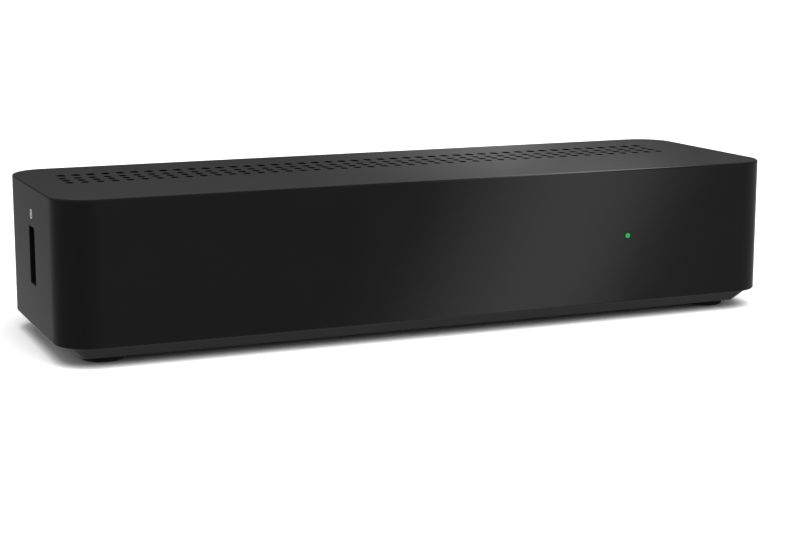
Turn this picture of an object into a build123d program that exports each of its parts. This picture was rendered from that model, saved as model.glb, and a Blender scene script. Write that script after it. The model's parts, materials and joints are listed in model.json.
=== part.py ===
"""TV decoder box: a black set-top box with a vented cover, a sloping plinth and sockets behind.

All lengths are in millimetres. +Z is up, the front faces -Y and +X is to the right seen from the front.
The origin is on the floor, under the middle of the whole box with the sockets that stand out behind it.
"""
import os
from math import cos, radians, sin, tan

from build123d import *

os.makedirs("parts", exist_ok=True)

# Outer form of the case
WIDTH = 175.0
DEPTH = 55.0
BODY_HEIGHT = 31.8
CORNER_RADIUS = 8.7
EDGE_ROUND = 0.5
SOCKET_STAND_OUT = 9.0
PLINTH_HEIGHT = 3.2
PLINTH_INSET = 2.5
PLINTH_RUN = 3.3
PLINTH_RADIUS = 3.0
PLINTH_FOOT_RADIUS = 1.2
FOOT_PROUD = 1.3

# Clearances, and how far a cut runs past the face that it opens
OVERRUN = 1.0
FIT_GAP = 0.25
PANEL_HOLE_GAP = 0.3
FOOT_GAP = 0.15
PLUG_GAP = 0.05
SCREW_GAP = 0.3

# Cover
WALL = 2.0
TOP_WALL = 2.0
POST_RADIUS = 3.2
PILOT_DEPTH = 12.0
OPENING_SIDE = 15.5
OPENING_DROP = 4.0
RIB_THICKNESS = 1.5
RIB_WIDTH = 3.0
RIB_HEIGHT = 4.0

# Vent slots in the cover: a back row of longer slots and rows of shorter ones in front of it
VENT_PITCH = 3.43
VENT_LEFT_MARGIN = 9.05
VENT_RIGHT_MARGIN = 13.5
VENT_BACK_SHIFT = 0.75
VENT_BACK_MARGIN = 14.75
VENT_BACK_GAP = 5.15
VENT_ROW_PITCH = 3.6
VENT_ROWS = 3
VENT_WIDTH = 1.6
VENT_BACK_LENGTH = 2.75
VENT_LENGTH = 2.2

# Tray under the cover
TRAY_FLOOR = 1.8
TRAY_WALL = 1.6
FLANGE = 2.0
LIP_WALL = 1.2
LIP_HEIGHT = 2.5
PANEL_LEDGE = 1.0
BOSS_RADIUS = 3.8
BOSS_RISE = 6.0
STANDOFF_RADIUS = 2.2
FLOOR_SLOT_WIDTH = 2.0
FLOOR_SLOT_LENGTH = 12.0
FLOOR_SLOT_PITCH = 6.0
FLOOR_SLOT_ROW_GAP = 4.0
FLOOR_SLOT_FIELD = 30.0
FLOOR_SLOT_PLACE_SHARE = 0.62
FLOOR_LABEL_LENGTH = 58.0
FLOOR_LABEL_DEPTH = 24.0
FLOOR_LABEL_RECESS = 0.3
FLOOR_LABEL_ROUND = 1.5

# Feet and the case screws that they cover
FOOT_RADIUS = 4.75
FOOT_MARGIN = 0.8
FOOT_SEAT = 0.6
FOOT_ROUND = 0.4
CASE_HEAD_RADIUS = 2.5
CASE_HEAD_HEIGHT = 1.8
CASE_HEAD_SINK = 2.3
CASE_SHANK_RADIUS = 1.45
CASE_SHANK_LENGTH = 15.0
CASE_TIP = 0.6
DRIVE_LENGTH = 3.0
DRIVE_WIDTH = 0.7
DRIVE_DEPTH = 0.9

# Rear panel
PANEL_SHEET = 1.2
PANEL_GAP = 0.2
PANEL_LAP = 1.6
PANEL_CORNER = 1.0
MOUTH_PROUD = 0.6

# Main board and its screws
BOARD_SHEET = 1.6
BOARD_SIDE_GAP = 1.0
BOARD_FRONT_GAP = 2.5
BOARD_REAR_GAP = 0.8
BOARD_POST_GAP = 0.7
BOARD_HOLE_RADIUS = 1.2
BOARD_SCREW_HEAD_RADIUS = 1.8
BOARD_SCREW_HEAD_HEIGHT = 1.3
BOARD_SCREW_RADIUS = 1.0
BOARD_SCREW_LENGTH = 7.0
BOARD_DRIVE_LENGTH = 2.2
BOARD_DRIVE_WIDTH = 0.5
BOARD_DRIVE_DEPTH = 0.7
SIDE_HOLE_MARGIN = 8.0
SIDE_HOLE_EDGE = 2.1
FRONT_HOLE_MARGIN = 3.7
FRONT_HOLE_INSET = 4.5

# USB socket on the left side, set upright
USB_RISE = 16.2
USB_SHIFT = 0.6
USB_SLOT_HEIGHT = 12.8
USB_SLOT_WIDTH = 5.6
USB_SLOT_ROUND = 0.35
USB_MOUTH_HEIGHT = 12.5
USB_MOUTH_WIDTH = 5.12
USB_SHEET = 0.3
USB_DEPTH = 14.0
USB_STAND = 1.25
USB_MOUTH_GAP = 0.3
USB_BACK = 4.0
USB_TONGUE_HEIGHT = 11.1
USB_TONGUE_THICKNESS = 1.84
USB_TONGUE_RECESS = 1.2
USB_TONGUE_SHIFT = 0.7
USB_LEG_LENGTH = 1.6
USB_LEG_INSET = 1.5

# Indicator light with its light pipe, and the infrared receiver beside it
LED_RIGHT_MARGIN = 39.85
LED_RISE = 16.0
PIPE_RADIUS = 0.65
PIPE_HOLE_GAP = 0.1
PIPE_POST = 2.4
PIPE_POST_INSET = 2.2
PIPE_MIRROR = 1.4
PIPE_LEG = 0.6
LED_LENGTH = 1.0
LED_WIDTH = 1.6
LED_HEIGHT = 0.7
LED_AIR = 0.3
RECEIVER_SPACING = 10.0
RECEIVER_WIDTH = 5.6
RECEIVER_HEIGHT = 7.0
RECEIVER_THICKNESS = 3.2
RECEIVER_DOME = 2.4
RECEIVER_AIR = 0.6
RECEIVER_LEG = 0.5
RECEIVER_LEG_PITCH = 1.9
RECEIVER_WINDOW_SKIN = 1.0
RECEIVER_WINDOW_MARGIN = 1.0

# Places of the rear sockets, as shares of half the panel's width
RF_IN_PLACE_SHARE = 0.84
RF_OUT_PLACE_SHARE = 0.62
VIDEO_PLACE_SHARE = 0.34
LAN_PLACE_SHARE = 0.05
AV_PLACE_SHARE = -0.18
COAX_PLACE_SHARE = -0.36
DC_PLACE_SHARE = -0.55
SWITCH_PLACE_SHARE = -0.75

# Tuner can and the two antenna sockets on it
CAN_MARGIN = 7.0
CAN_DEPTH = 24.0
CAN_HEIGHT = 14.0
CAN_SHEET = 0.5
CAN_ROUND = 0.8
RF_RISE = 7.0
RF_RADIUS = 4.76
RF_ROOT_RADIUS = 4.5
RF_BORE_RADIUS = 3.2
RF_SHOULDER = 2.0
RF_FLATS = 11.0
RF_MOUTH_ROUND = 0.4
RF_INSULATOR_RECESS = 0.8
RF_CONTACT_RADIUS = 0.6
RF_CONTACT_DEPTH = 7.0
RF_WASHER_RADIUS = 6.0
RF_WASHER_SHEET = 0.5
RF_NUT_FLATS = 11.0
RF_NUT_HEIGHT = 2.0
TUNER_CHIP_SIDE = 8.0
TUNER_CHIP_HEIGHT = 1.0

# Digital video socket
VIDEO_MOUTH_WIDTH = 14.1
VIDEO_MOUTH_HEIGHT = 4.65
VIDEO_SHEET = 0.35
VIDEO_BEVEL = 1.4
VIDEO_DEPTH = 11.5
VIDEO_BACK = 3.0
VIDEO_TONGUE_WIDTH = 11.5
VIDEO_TONGUE_THICKNESS = 1.7
VIDEO_TONGUE_RECESS = 1.5

# Network socket
LAN_WIDTH = 16.0
LAN_HEIGHT = 13.4
LAN_DEPTH = 16.0
LAN_SHEET = 0.3
LAN_CAVITY_WIDTH = 11.9
LAN_CAVITY_HEIGHT = 6.8
LAN_CAVITY_DEPTH = 12.5
LAN_CAVITY_RISE = 4.4
LAN_LATCH_WIDTH = 6.2
LAN_LATCH_DROP = 1.6
LAN_KEY_WIDTH = 3.4
LAN_KEY_DROP = 1.3
LAN_CONTACTS = 8
LAN_CONTACT_PITCH = 1.02
LAN_CONTACT_WIDTH = 0.45
LAN_CONTACT_THICKNESS = 0.4
LAN_CONTACT_LENGTH = 8.0
LAN_CONTACT_INSET = 2.5

# Analogue picture and sound jack
AV_WIDTH = 7.5
AV_HEIGHT = 6.6
AV_DEPTH = 14.0
AV_BUSH_RADIUS = 2.9
AV_BUSH_PROUD = 2.5
AV_BORE_RADIUS = 1.8
AV_BORE_DEPTH = 13.5
AV_BUSH_ROUND = 0.3

# Digital sound jack with a plug-over barrel
COAX_WIDTH = 10.0
COAX_HEIGHT = 10.6
COAX_DEPTH = 9.0
COAX_RISE = 6.0
COAX_BOSS_RADIUS = 4.4
COAX_BARREL_RADIUS = 4.15
COAX_BARREL_SHEET = 0.45
COAX_BARREL_LENGTH = 8.5
COAX_INSERT_RECESS = 0.4
COAX_BORE_RADIUS = 1.65
COAX_BORE_DEPTH = 8.0

# Power inlet
DC_WIDTH = 9.0
DC_HEIGHT = 11.0
DC_DEPTH = 14.0
DC_RISE = 6.4
DC_BORE_RADIUS = 2.9
DC_BORE_DEPTH = 9.5
DC_PIN_RADIUS = 1.05
DC_PIN_RECESS = 0.6
DC_PIN_ROUND = 0.3

# Power switch with its rocker
ROCKER_TILT_DEG = 9.0
ROCKER_HALF_LENGTH = 3.8
ROCKER_WIDTH = 5.6
ROCKER_VALLEY = 2.6
ROCKER_SKIRT = 1.0
ROCKER_SIDE_GAP = 0.3
ROCKER_END_GAP = 0.4
TRUNNION_RADIUS = 0.9
TRUNNION_END_GAP = 0.2
PIVOT_DEPTH = 2.4
SWITCH_WALL = 1.0
SWITCH_LIP = 0.9
SWITCH_BEZEL = 1.4
SWITCH_DEPTH = 10.0
SWITCH_STAND = 1.6
TERMINAL_WIDTH = 2.4
TERMINAL_SHEET = 0.7
TERMINAL_SPACING = 4.2
TERMINAL_INSET = 2.0

# Decoder chip, its thermal pad and its heat sink
CHIP_SIDE = 15.0
CHIP_HEIGHT = 1.5
CHIP_PLACE_SHARE = 0.1
PAD_SIDE = 14.0
PAD_HEIGHT = 0.5
SINK_SIDE = 19.0
SINK_BASE = 2.0
SINK_HEIGHT = 9.0
SINK_FINS = 7
SINK_FIN_SHEET = 1.0

# Other parts on the main board, set out from the heat sink and the tuner can with one gap between neighbours
PART_GAP = 1.5
BOARD_EDGE_GAP = 1.2
MEMORY_LENGTH = 12.5
MEMORY_WIDTH = 8.5
MEMORY_HEIGHT = 1.2
FLASH_LENGTH = 6.0
FLASH_WIDTH = 8.0
FLASH_HEIGHT = 1.6
CRYSTAL_LENGTH = 10.0
CRYSTAL_WIDTH = 4.6
CRYSTAL_HEIGHT = 3.4
TRANSFORMER_LENGTH = 12.5
TRANSFORMER_WIDTH = 6.5
TRANSFORMER_HEIGHT = 5.0
POWER_PARTS = 3
POWER_PITCH = 10.0
INDUCTOR_SIDE = 6.5
INDUCTOR_HEIGHT = 4.2
INDUCTOR_BEVEL = 1.0
CAPACITOR_RADIUS = 4.0
CAPACITOR_HEIGHT = 11.5
CAPACITOR_ROUND = 0.5
CAPACITOR_INSET = 9.0
SMALL_PART_LENGTH = 2.0
SMALL_PART_WIDTH = 1.25
SMALL_PART_HEIGHT = 0.9
SMALL_PART_PITCH = 3.4
SMALL_PART_COLUMNS = 6
SMALL_PART_ROWS = 2

# Levels and faces worked out from the values above
TRAY_BOTTOM_Z = FOOT_PROUD
RIM_Z = TRAY_BOTTOM_Z + PLINTH_HEIGHT
TOP_Z = RIM_Z + BODY_HEIGHT
CEILING_Z = TOP_Z - TOP_WALL
FLOOR_Z = TRAY_BOTTOM_Z + TRAY_FLOOR
FLANGE_Z = RIM_Z + FLANGE
LEFT_X = -WIDTH / 2
FRONT_Y = -(DEPTH + SOCKET_STAND_OUT) / 2
REAR_Y = FRONT_Y + DEPTH
BODY_Y = (FRONT_Y + REAR_Y) / 2
PANEL_REAR_Y = REAR_Y - WALL - PANEL_GAP
PANEL_FRONT_Y = PANEL_REAR_Y - PANEL_SHEET
MOUTH_Y = PANEL_REAR_Y + MOUTH_PROUD
OPENING_HALF = WIDTH / 2 - OPENING_SIDE
OPENING_TOP_Z = TOP_Z - OPENING_DROP
PANEL_HALF = OPENING_HALF + PANEL_LAP
PANEL_BOTTOM_Z = RIM_Z + PANEL_LEDGE
PANEL_TOP_Z = OPENING_TOP_Z + PANEL_LAP
USB_Y = BODY_Y - USB_SHIFT
USB_Z = RIM_Z + USB_RISE
USB_MOUTH_X = LEFT_X + WALL + USB_MOUTH_GAP
USB_SHELL_HEIGHT = USB_MOUTH_HEIGHT + 2 * USB_SHEET
USB_SHELL_WIDTH = USB_MOUTH_WIDTH + 2 * USB_SHEET
BOARD_Z = USB_Z - USB_SHELL_HEIGHT / 2 - USB_STAND
BOARD_UNDER_Z = BOARD_Z - BOARD_SHEET
BOARD_HALF = WIDTH / 2 - WALL - BOARD_SIDE_GAP
BOARD_FRONT_Y = FRONT_Y + WALL + BOARD_FRONT_GAP
BOARD_REAR_Y = PANEL_FRONT_Y - BOARD_REAR_GAP
FOOT_X = WIDTH / 2 - PLINTH_INSET - PLINTH_RUN - FOOT_MARGIN - FOOT_RADIUS
FOOT_REACH_Y = DEPTH / 2 - PLINTH_INSET - PLINTH_RUN - FOOT_MARGIN - FOOT_RADIUS
BOSS_TOP_Z = RIM_Z + BOSS_RISE
CASE_SEAT_Z = TRAY_BOTTOM_Z + FOOT_SEAT + CASE_HEAD_SINK
LED_X = WIDTH / 2 - LED_RIGHT_MARGIN
LED_Z = RIM_Z + LED_RISE
RECEIVER_X = LED_X + RECEIVER_SPACING

# Places of the feet and screws
foot_places = {
    "foot_front_left": (-FOOT_X, BODY_Y - FOOT_REACH_Y),
    "foot_front_right": (FOOT_X, BODY_Y - FOOT_REACH_Y),
    "foot_rear_left": (-FOOT_X, BODY_Y + FOOT_REACH_Y),
    "foot_rear_right": (FOOT_X, BODY_Y + FOOT_REACH_Y),
}
NOTCH_X = FOOT_X - BOSS_RADIUS - BOARD_POST_GAP
NOTCH_REACH_Y = FOOT_REACH_Y - BOSS_RADIUS - BOARD_POST_GAP
board_hole_places = [
    (-BOARD_HALF + SIDE_HOLE_MARGIN, BODY_Y + NOTCH_REACH_Y - SIDE_HOLE_EDGE),
    (BOARD_HALF - SIDE_HOLE_MARGIN, BODY_Y + NOTCH_REACH_Y - SIDE_HOLE_EDGE),
    (-NOTCH_X + FRONT_HOLE_INSET, BOARD_FRONT_Y + FRONT_HOLE_MARGIN),
    (NOTCH_X - FRONT_HOLE_INSET, BOARD_FRONT_Y + FRONT_HOLE_MARGIN),
]

# Axes of the rear sockets
RF_IN_X = RF_IN_PLACE_SHARE * PANEL_HALF
RF_OUT_X = RF_OUT_PLACE_SHARE * PANEL_HALF
VIDEO_X = VIDEO_PLACE_SHARE * PANEL_HALF
LAN_X = LAN_PLACE_SHARE * PANEL_HALF
AV_X = AV_PLACE_SHARE * PANEL_HALF
COAX_X = COAX_PLACE_SHARE * PANEL_HALF
DC_X = DC_PLACE_SHARE * PANEL_HALF
SWITCH_X = SWITCH_PLACE_SHARE * PANEL_HALF
RF_Z = BOARD_Z + RF_RISE
RF_END_Y = REAR_Y + SOCKET_STAND_OUT
VIDEO_SHELL_WIDTH = VIDEO_MOUTH_WIDTH + 2 * VIDEO_SHEET
VIDEO_SHELL_HEIGHT = VIDEO_MOUTH_HEIGHT + 2 * VIDEO_SHEET
VIDEO_Z = BOARD_Z + VIDEO_SHELL_HEIGHT / 2
LAN_Z = BOARD_Z + LAN_HEIGHT / 2
AV_Z = BOARD_Z + AV_HEIGHT / 2
AV_END_Y = PANEL_REAR_Y + AV_BUSH_PROUD
COAX_Z = BOARD_Z + COAX_RISE
COAX_BACK_Y = PANEL_FRONT_Y - PANEL_GAP
COAX_END_Y = MOUTH_Y + COAX_BARREL_LENGTH
DC_Z = BOARD_Z + DC_RISE

# Sizes of the switch that follow from the swing of its rocker
TILT = radians(ROCKER_TILT_DEG)
ROCKER_END = ROCKER_VALLEY + ROCKER_HALF_LENGTH * tan(TILT)
CAVITY_HALF = ROCKER_HALF_LENGTH * cos(TILT) + ROCKER_END * sin(TILT) + ROCKER_END_GAP
CAVITY_WIDTH = ROCKER_WIDTH + 2 * ROCKER_SIDE_GAP
CAVITY_FLOOR = ROCKER_HALF_LENGTH * sin(TILT) + ROCKER_SKIRT * cos(TILT) + ROCKER_END_GAP
SWITCH_BODY_WIDTH = CAVITY_WIDTH + 2 * SWITCH_WALL
SWITCH_BODY_HEIGHT = 2 * CAVITY_HALF + 2 * SWITCH_WALL
SWITCH_Z = BOARD_Z + SWITCH_STAND + SWITCH_BODY_HEIGHT / 2
SWITCH_FACE_Y = PANEL_REAR_Y + SWITCH_BEZEL
PIVOT_Y = SWITCH_FACE_Y - PIVOT_DEPTH

# How boxes stand on a level, or run forward or rearward from a face
ON_LEVEL = (Align.CENTER, Align.CENTER, Align.MIN)
RUN_FORWARD = (Align.CENTER, Align.MAX, Align.CENTER)
RUN_REARWARD = (Align.CENTER, Align.MIN, Align.CENTER)


def across(y):
    """Upright plane across the box at this y, facing the front: sketches on it are in x and z."""
    return Plane(origin=(0, y, 0), x_dir=(1, 0, 0), z_dir=(0, -1, 0))


def outline(inset, radius, cut=False):
    """Plan outline of the case, drawn in from the outer wall by this inset."""
    mode = Mode.SUBTRACT if cut else Mode.ADD
    with Locations((0, BODY_Y)):
        RectangleRounded(WIDTH - 2 * inset, DEPTH - 2 * inset, radius, mode=mode)


def video_outline(width, height, bevel):
    """Mouth of the video socket: a rectangle with its two lower corners cut off."""
    half_width = width / 2
    half_height = height / 2
    Polygon(
        (VIDEO_X - half_width, VIDEO_Z + half_height),
        (VIDEO_X + half_width, VIDEO_Z + half_height),
        (VIDEO_X + half_width, VIDEO_Z - half_height + bevel),
        (VIDEO_X + half_width - bevel, VIDEO_Z - half_height),
        (VIDEO_X - half_width + bevel, VIDEO_Z - half_height),
        (VIDEO_X - half_width, VIDEO_Z - half_height + bevel),
        align=None,
    )


# Cover: a rounded shell, open below, with vents, screw posts and openings for the sockets
with BuildPart() as top_cover:
    with BuildSketch(Plane.XY.offset(RIM_Z)):
        outline(0, CORNER_RADIUS)
    extrude(amount=BODY_HEIGHT)
    fillet(top_cover.edges().group_by(Axis.Z)[-1], EDGE_ROUND)
    with BuildSketch(Plane.XY.offset(RIM_Z)):
        outline(WALL, CORNER_RADIUS - WALL)
    extrude(amount=BODY_HEIGHT - TOP_WALL, mode=Mode.SUBTRACT)
    with BuildSketch(Plane.XY.offset(BOSS_TOP_Z)):
        with Locations(*foot_places.values()):
            Circle(POST_RADIUS)
    extrude(amount=CEILING_Z - BOSS_TOP_Z + TOP_WALL / 2)
    with BuildSketch(Plane.XY.offset(CEILING_Z)):
        with Locations(
            (-PANEL_HALF + RIB_WIDTH, PANEL_FRONT_Y - PANEL_GAP - RIB_THICKNESS / 2),
            ((VIDEO_X + LAN_X) / 2, PANEL_FRONT_Y - PANEL_GAP - RIB_THICKNESS / 2),
            (PANEL_HALF - RIB_WIDTH, PANEL_FRONT_Y - PANEL_GAP - RIB_THICKNESS / 2),
        ):
            Rectangle(RIB_WIDTH, RIB_THICKNESS)
    extrude(amount=-RIB_HEIGHT)
    with BuildSketch(Plane.XY.offset(BOSS_TOP_Z)):
        with Locations(*foot_places.values()):
            Circle(CASE_SHANK_RADIUS)
    extrude(amount=PILOT_DEPTH, mode=Mode.SUBTRACT)
    with BuildSketch(across(REAR_Y + OVERRUN)):
        with Locations((0, RIM_Z - OVERRUN)):
            Rectangle(
                2 * OPENING_HALF,
                OPENING_TOP_Z - RIM_Z + OVERRUN,
                align=(Align.CENTER, Align.MIN),
            )
    extrude(amount=WALL + 2 * OVERRUN, mode=Mode.SUBTRACT)
    with BuildSketch(Plane.YZ.offset(LEFT_X - OVERRUN)):
        with Locations((USB_Y, USB_Z)):
            RectangleRounded(USB_SLOT_WIDTH, USB_SLOT_HEIGHT, USB_SLOT_ROUND)
    extrude(amount=WALL + 2 * OVERRUN, mode=Mode.SUBTRACT)
    with BuildSketch(across(FRONT_Y + WALL + OVERRUN)):
        with Locations((LED_X, LED_Z)):
            Circle(PIPE_RADIUS + PIPE_HOLE_GAP)
    extrude(amount=WALL + 2 * OVERRUN, mode=Mode.SUBTRACT)
    with BuildSketch(across(FRONT_Y + WALL + OVERRUN)):
        with Locations((RECEIVER_X, LED_Z)):
            Rectangle(
                RECEIVER_WIDTH + 2 * RECEIVER_WINDOW_MARGIN,
                RECEIVER_HEIGHT + 2 * RECEIVER_WINDOW_MARGIN,
            )
    extrude(amount=WALL + OVERRUN - RECEIVER_WINDOW_SKIN, mode=Mode.SUBTRACT)
    vent_columns = int((WIDTH - VENT_LEFT_MARGIN - VENT_RIGHT_MARGIN) / VENT_PITCH) + 1
    vent_back_y = REAR_Y - VENT_BACK_MARGIN
    with BuildSketch(Plane.XY.offset(TOP_Z + OVERRUN)):
        for column in range(vent_columns):
            vent_x = LEFT_X + VENT_LEFT_MARGIN + column * VENT_PITCH
            with Locations((vent_x + VENT_BACK_SHIFT, vent_back_y)):
                SlotOverall(VENT_BACK_LENGTH, VENT_WIDTH, rotation=90)
            for row in range(VENT_ROWS):
                with Locations((vent_x, vent_back_y - VENT_BACK_GAP - row * VENT_ROW_PITCH)):
                    SlotOverall(VENT_LENGTH, VENT_WIDTH, rotation=90)
    extrude(amount=-(TOP_WALL + 2 * OVERRUN), mode=Mode.SUBTRACT)

# Tray: flange inside the cover's rim, sloping plinth, screw bosses and standoffs
PLINTH_FLOOR_INSET = PLINTH_INSET + PLINTH_RUN
LIP_INSET = WALL + FIT_GAP
with BuildPart() as base_tray:
    with BuildSketch(Plane.XY.offset(TRAY_BOTTOM_Z)):
        outline(PLINTH_FLOOR_INSET, PLINTH_FOOT_RADIUS)
    with BuildSketch(Plane.XY.offset(RIM_Z)):
        outline(PLINTH_INSET, PLINTH_RADIUS)
    loft(ruled=True)
    with BuildSketch(Plane.XY.offset(RIM_Z)):
        outline(LIP_INSET, CORNER_RADIUS - LIP_INSET)
    extrude(amount=FLANGE)
    with BuildSketch(Plane.XY.offset(FLANGE_Z)):
        outline(LIP_INSET, CORNER_RADIUS - LIP_INSET)
        outline(LIP_INSET + LIP_WALL, CORNER_RADIUS - LIP_INSET - LIP_WALL, cut=True)
    extrude(amount=LIP_HEIGHT)
    with BuildSketch(Plane.XY.offset(FLOOR_Z)):
        outline(PLINTH_FLOOR_INSET + TRAY_WALL, PLINTH_FOOT_RADIUS)
    extrude(amount=FLANGE_Z - FLOOR_Z + OVERRUN, mode=Mode.SUBTRACT)
    with BuildSketch(Plane.XY.offset(FLOOR_Z)):
        with Locations(*foot_places.values()):
            Circle(BOSS_RADIUS)
    extrude(amount=BOSS_TOP_Z - FLOOR_Z)
    with BuildSketch(Plane.XY.offset(FLOOR_Z)):
        with Locations(*board_hole_places):
            Circle(STANDOFF_RADIUS)
    extrude(amount=BOARD_UNDER_Z - FLOOR_Z)
    with BuildSketch(Plane.XY.offset(PANEL_BOTTOM_Z)):
        with Locations((0, PANEL_FRONT_Y - PANEL_GAP)):
            Rectangle(
                2 * PANEL_HALF + 2 * PANEL_HOLE_GAP,
                WALL + PANEL_SHEET,
                align=(Align.CENTER, Align.MIN),
            )
    extrude(amount=FLANGE + LIP_HEIGHT + OVERRUN, mode=Mode.SUBTRACT)
    with BuildSketch(Plane.XY.offset(TRAY_BOTTOM_Z)):
        with Locations(*foot_places.values()):
            Circle(FOOT_RADIUS + FOOT_GAP)
    extrude(amount=FOOT_SEAT, mode=Mode.SUBTRACT)
    with BuildSketch(Plane.XY.offset(TRAY_BOTTOM_Z)):
        with Locations(*foot_places.values()):
            Circle(CASE_HEAD_RADIUS + SCREW_GAP)
    extrude(amount=FOOT_SEAT + CASE_HEAD_SINK, mode=Mode.SUBTRACT)
    with BuildSketch(Plane.XY.offset(TRAY_BOTTOM_Z)):
        with Locations(*foot_places.values()):
            Circle(CASE_SHANK_RADIUS + SCREW_GAP)
    extrude(amount=BOSS_TOP_Z - TRAY_BOTTOM_Z + OVERRUN, mode=Mode.SUBTRACT)
    with BuildSketch(Plane.XY.offset(BOARD_UNDER_Z)):
        with Locations(*board_hole_places):
            Circle(BOARD_SCREW_RADIUS)
    extrude(amount=-BOARD_SCREW_LENGTH, mode=Mode.SUBTRACT)
    slot_columns = int(FLOOR_SLOT_FIELD / FLOOR_SLOT_PITCH)
    slot_row_pitch = FLOOR_SLOT_LENGTH + FLOOR_SLOT_ROW_GAP
    with BuildSketch(Plane.XY.offset(TRAY_BOTTOM_Z - OVERRUN)):
        with Locations(
            (-FLOOR_SLOT_PLACE_SHARE * FOOT_X, BODY_Y),
            (FLOOR_SLOT_PLACE_SHARE * FOOT_X, BODY_Y),
        ):
            with GridLocations(FLOOR_SLOT_PITCH, slot_row_pitch, slot_columns, 2):
                SlotOverall(FLOOR_SLOT_LENGTH, FLOOR_SLOT_WIDTH, rotation=90)
    extrude(amount=TRAY_FLOOR + 2 * OVERRUN, mode=Mode.SUBTRACT)
    with BuildSketch(Plane.XY.offset(TRAY_BOTTOM_Z)):
        with Locations((0, BODY_Y)):
            RectangleRounded(FLOOR_LABEL_LENGTH, FLOOR_LABEL_DEPTH, FLOOR_LABEL_ROUND)
    extrude(amount=FLOOR_LABEL_RECESS, mode=Mode.SUBTRACT)

# Four rubber feet, each seated in its recess in the tray
feet = {}
for foot_name, place in foot_places.items():
    with BuildPart() as foot:
        with BuildSketch(Plane.XY):
            with Locations(place):
                Circle(FOOT_RADIUS)
        extrude(amount=FOOT_PROUD + FOOT_SEAT)
        fillet(foot.edges().group_by(Axis.Z)[0], FOOT_ROUND)
    feet[foot_name] = foot

# Case screws: up through the tray's bosses into the cover's posts
with BuildPart() as case_screws:
    with BuildSketch(Plane.XY.offset(CASE_SEAT_Z)):
        with Locations(*foot_places.values()):
            Circle(CASE_HEAD_RADIUS)
    extrude(amount=-CASE_HEAD_HEIGHT)
    with BuildSketch(Plane.XY.offset(CASE_SEAT_Z)):
        with Locations(*foot_places.values()):
            Circle(CASE_SHANK_RADIUS)
    extrude(amount=CASE_SHANK_LENGTH)
    chamfer(case_screws.edges().group_by(Axis.Z)[-1], CASE_TIP)
    with BuildSketch(Plane.XY.offset(CASE_SEAT_Z - CASE_HEAD_HEIGHT)):
        with Locations(*foot_places.values()):
            Rectangle(DRIVE_LENGTH, DRIVE_WIDTH)
            Rectangle(DRIVE_WIDTH, DRIVE_LENGTH)
    extrude(amount=DRIVE_DEPTH, mode=Mode.SUBTRACT)

# Main board: its corners are notched around the screw posts
with BuildPart() as main_board:
    with BuildSketch(Plane.XY.offset(BOARD_UNDER_Z)):
        with Locations((0, BOARD_FRONT_Y)):
            Rectangle(2 * NOTCH_X, BOARD_REAR_Y - BOARD_FRONT_Y, align=(Align.CENTER, Align.MIN))
        with Locations((0, BODY_Y)):
            Rectangle(2 * BOARD_HALF, 2 * NOTCH_REACH_Y)
        with Locations(*board_hole_places):
            Circle(BOARD_HOLE_RADIUS, mode=Mode.SUBTRACT)
    extrude(amount=BOARD_SHEET)

# Board screws: down through the board into the tray's standoffs
with BuildPart() as board_screws:
    with BuildSketch(Plane.XY.offset(BOARD_Z)):
        with Locations(*board_hole_places):
            Circle(BOARD_SCREW_HEAD_RADIUS)
    extrude(amount=BOARD_SCREW_HEAD_HEIGHT)
    with BuildSketch(Plane.XY.offset(BOARD_Z)):
        with Locations(*board_hole_places):
            Circle(BOARD_SCREW_RADIUS)
    extrude(amount=-BOARD_SCREW_LENGTH)
    with BuildSketch(Plane.XY.offset(BOARD_Z + BOARD_SCREW_HEAD_HEIGHT)):
        with Locations(*board_hole_places):
            Rectangle(BOARD_DRIVE_LENGTH, BOARD_DRIVE_WIDTH)
            Rectangle(BOARD_DRIVE_WIDTH, BOARD_DRIVE_LENGTH)
    extrude(amount=-BOARD_DRIVE_DEPTH, mode=Mode.SUBTRACT)

# Rear panel: one sheet behind the cover's opening, cut for each socket and for the switch
with BuildPart() as rear_panel:
    with BuildSketch(across(PANEL_REAR_Y)):
        with Locations((0, (PANEL_BOTTOM_Z + PANEL_TOP_Z) / 2)):
            RectangleRounded(2 * PANEL_HALF, PANEL_TOP_Z - PANEL_BOTTOM_Z, PANEL_CORNER)
        with Locations((RF_IN_X, RF_Z), (RF_OUT_X, RF_Z)):
            Circle(RF_ROOT_RADIUS + PANEL_HOLE_GAP, mode=Mode.SUBTRACT)
        with Locations((VIDEO_X, VIDEO_Z)):
            Rectangle(
                VIDEO_SHELL_WIDTH + 2 * PANEL_HOLE_GAP,
                VIDEO_SHELL_HEIGHT + 2 * PANEL_HOLE_GAP,
                mode=Mode.SUBTRACT,
            )
        with Locations((LAN_X, LAN_Z)):
            Rectangle(
                LAN_WIDTH + 2 * PANEL_HOLE_GAP,
                LAN_HEIGHT + 2 * PANEL_HOLE_GAP,
                mode=Mode.SUBTRACT,
            )
        with Locations((AV_X, AV_Z)):
            Circle(AV_BUSH_RADIUS + PANEL_HOLE_GAP, mode=Mode.SUBTRACT)
        with Locations((COAX_X, COAX_Z)):
            Circle(COAX_BOSS_RADIUS + PANEL_HOLE_GAP, mode=Mode.SUBTRACT)
        with Locations((DC_X, BOARD_Z + DC_HEIGHT / 2)):
            Rectangle(
                DC_WIDTH + 2 * PANEL_HOLE_GAP,
                DC_HEIGHT + 2 * PANEL_HOLE_GAP,
                mode=Mode.SUBTRACT,
            )
        with Locations((SWITCH_X, SWITCH_Z)):
            Rectangle(
                SWITCH_BODY_WIDTH + 2 * PANEL_HOLE_GAP,
                SWITCH_BODY_HEIGHT + 2 * PANEL_HOLE_GAP,
                mode=Mode.SUBTRACT,
            )
    extrude(amount=PANEL_SHEET)

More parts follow.
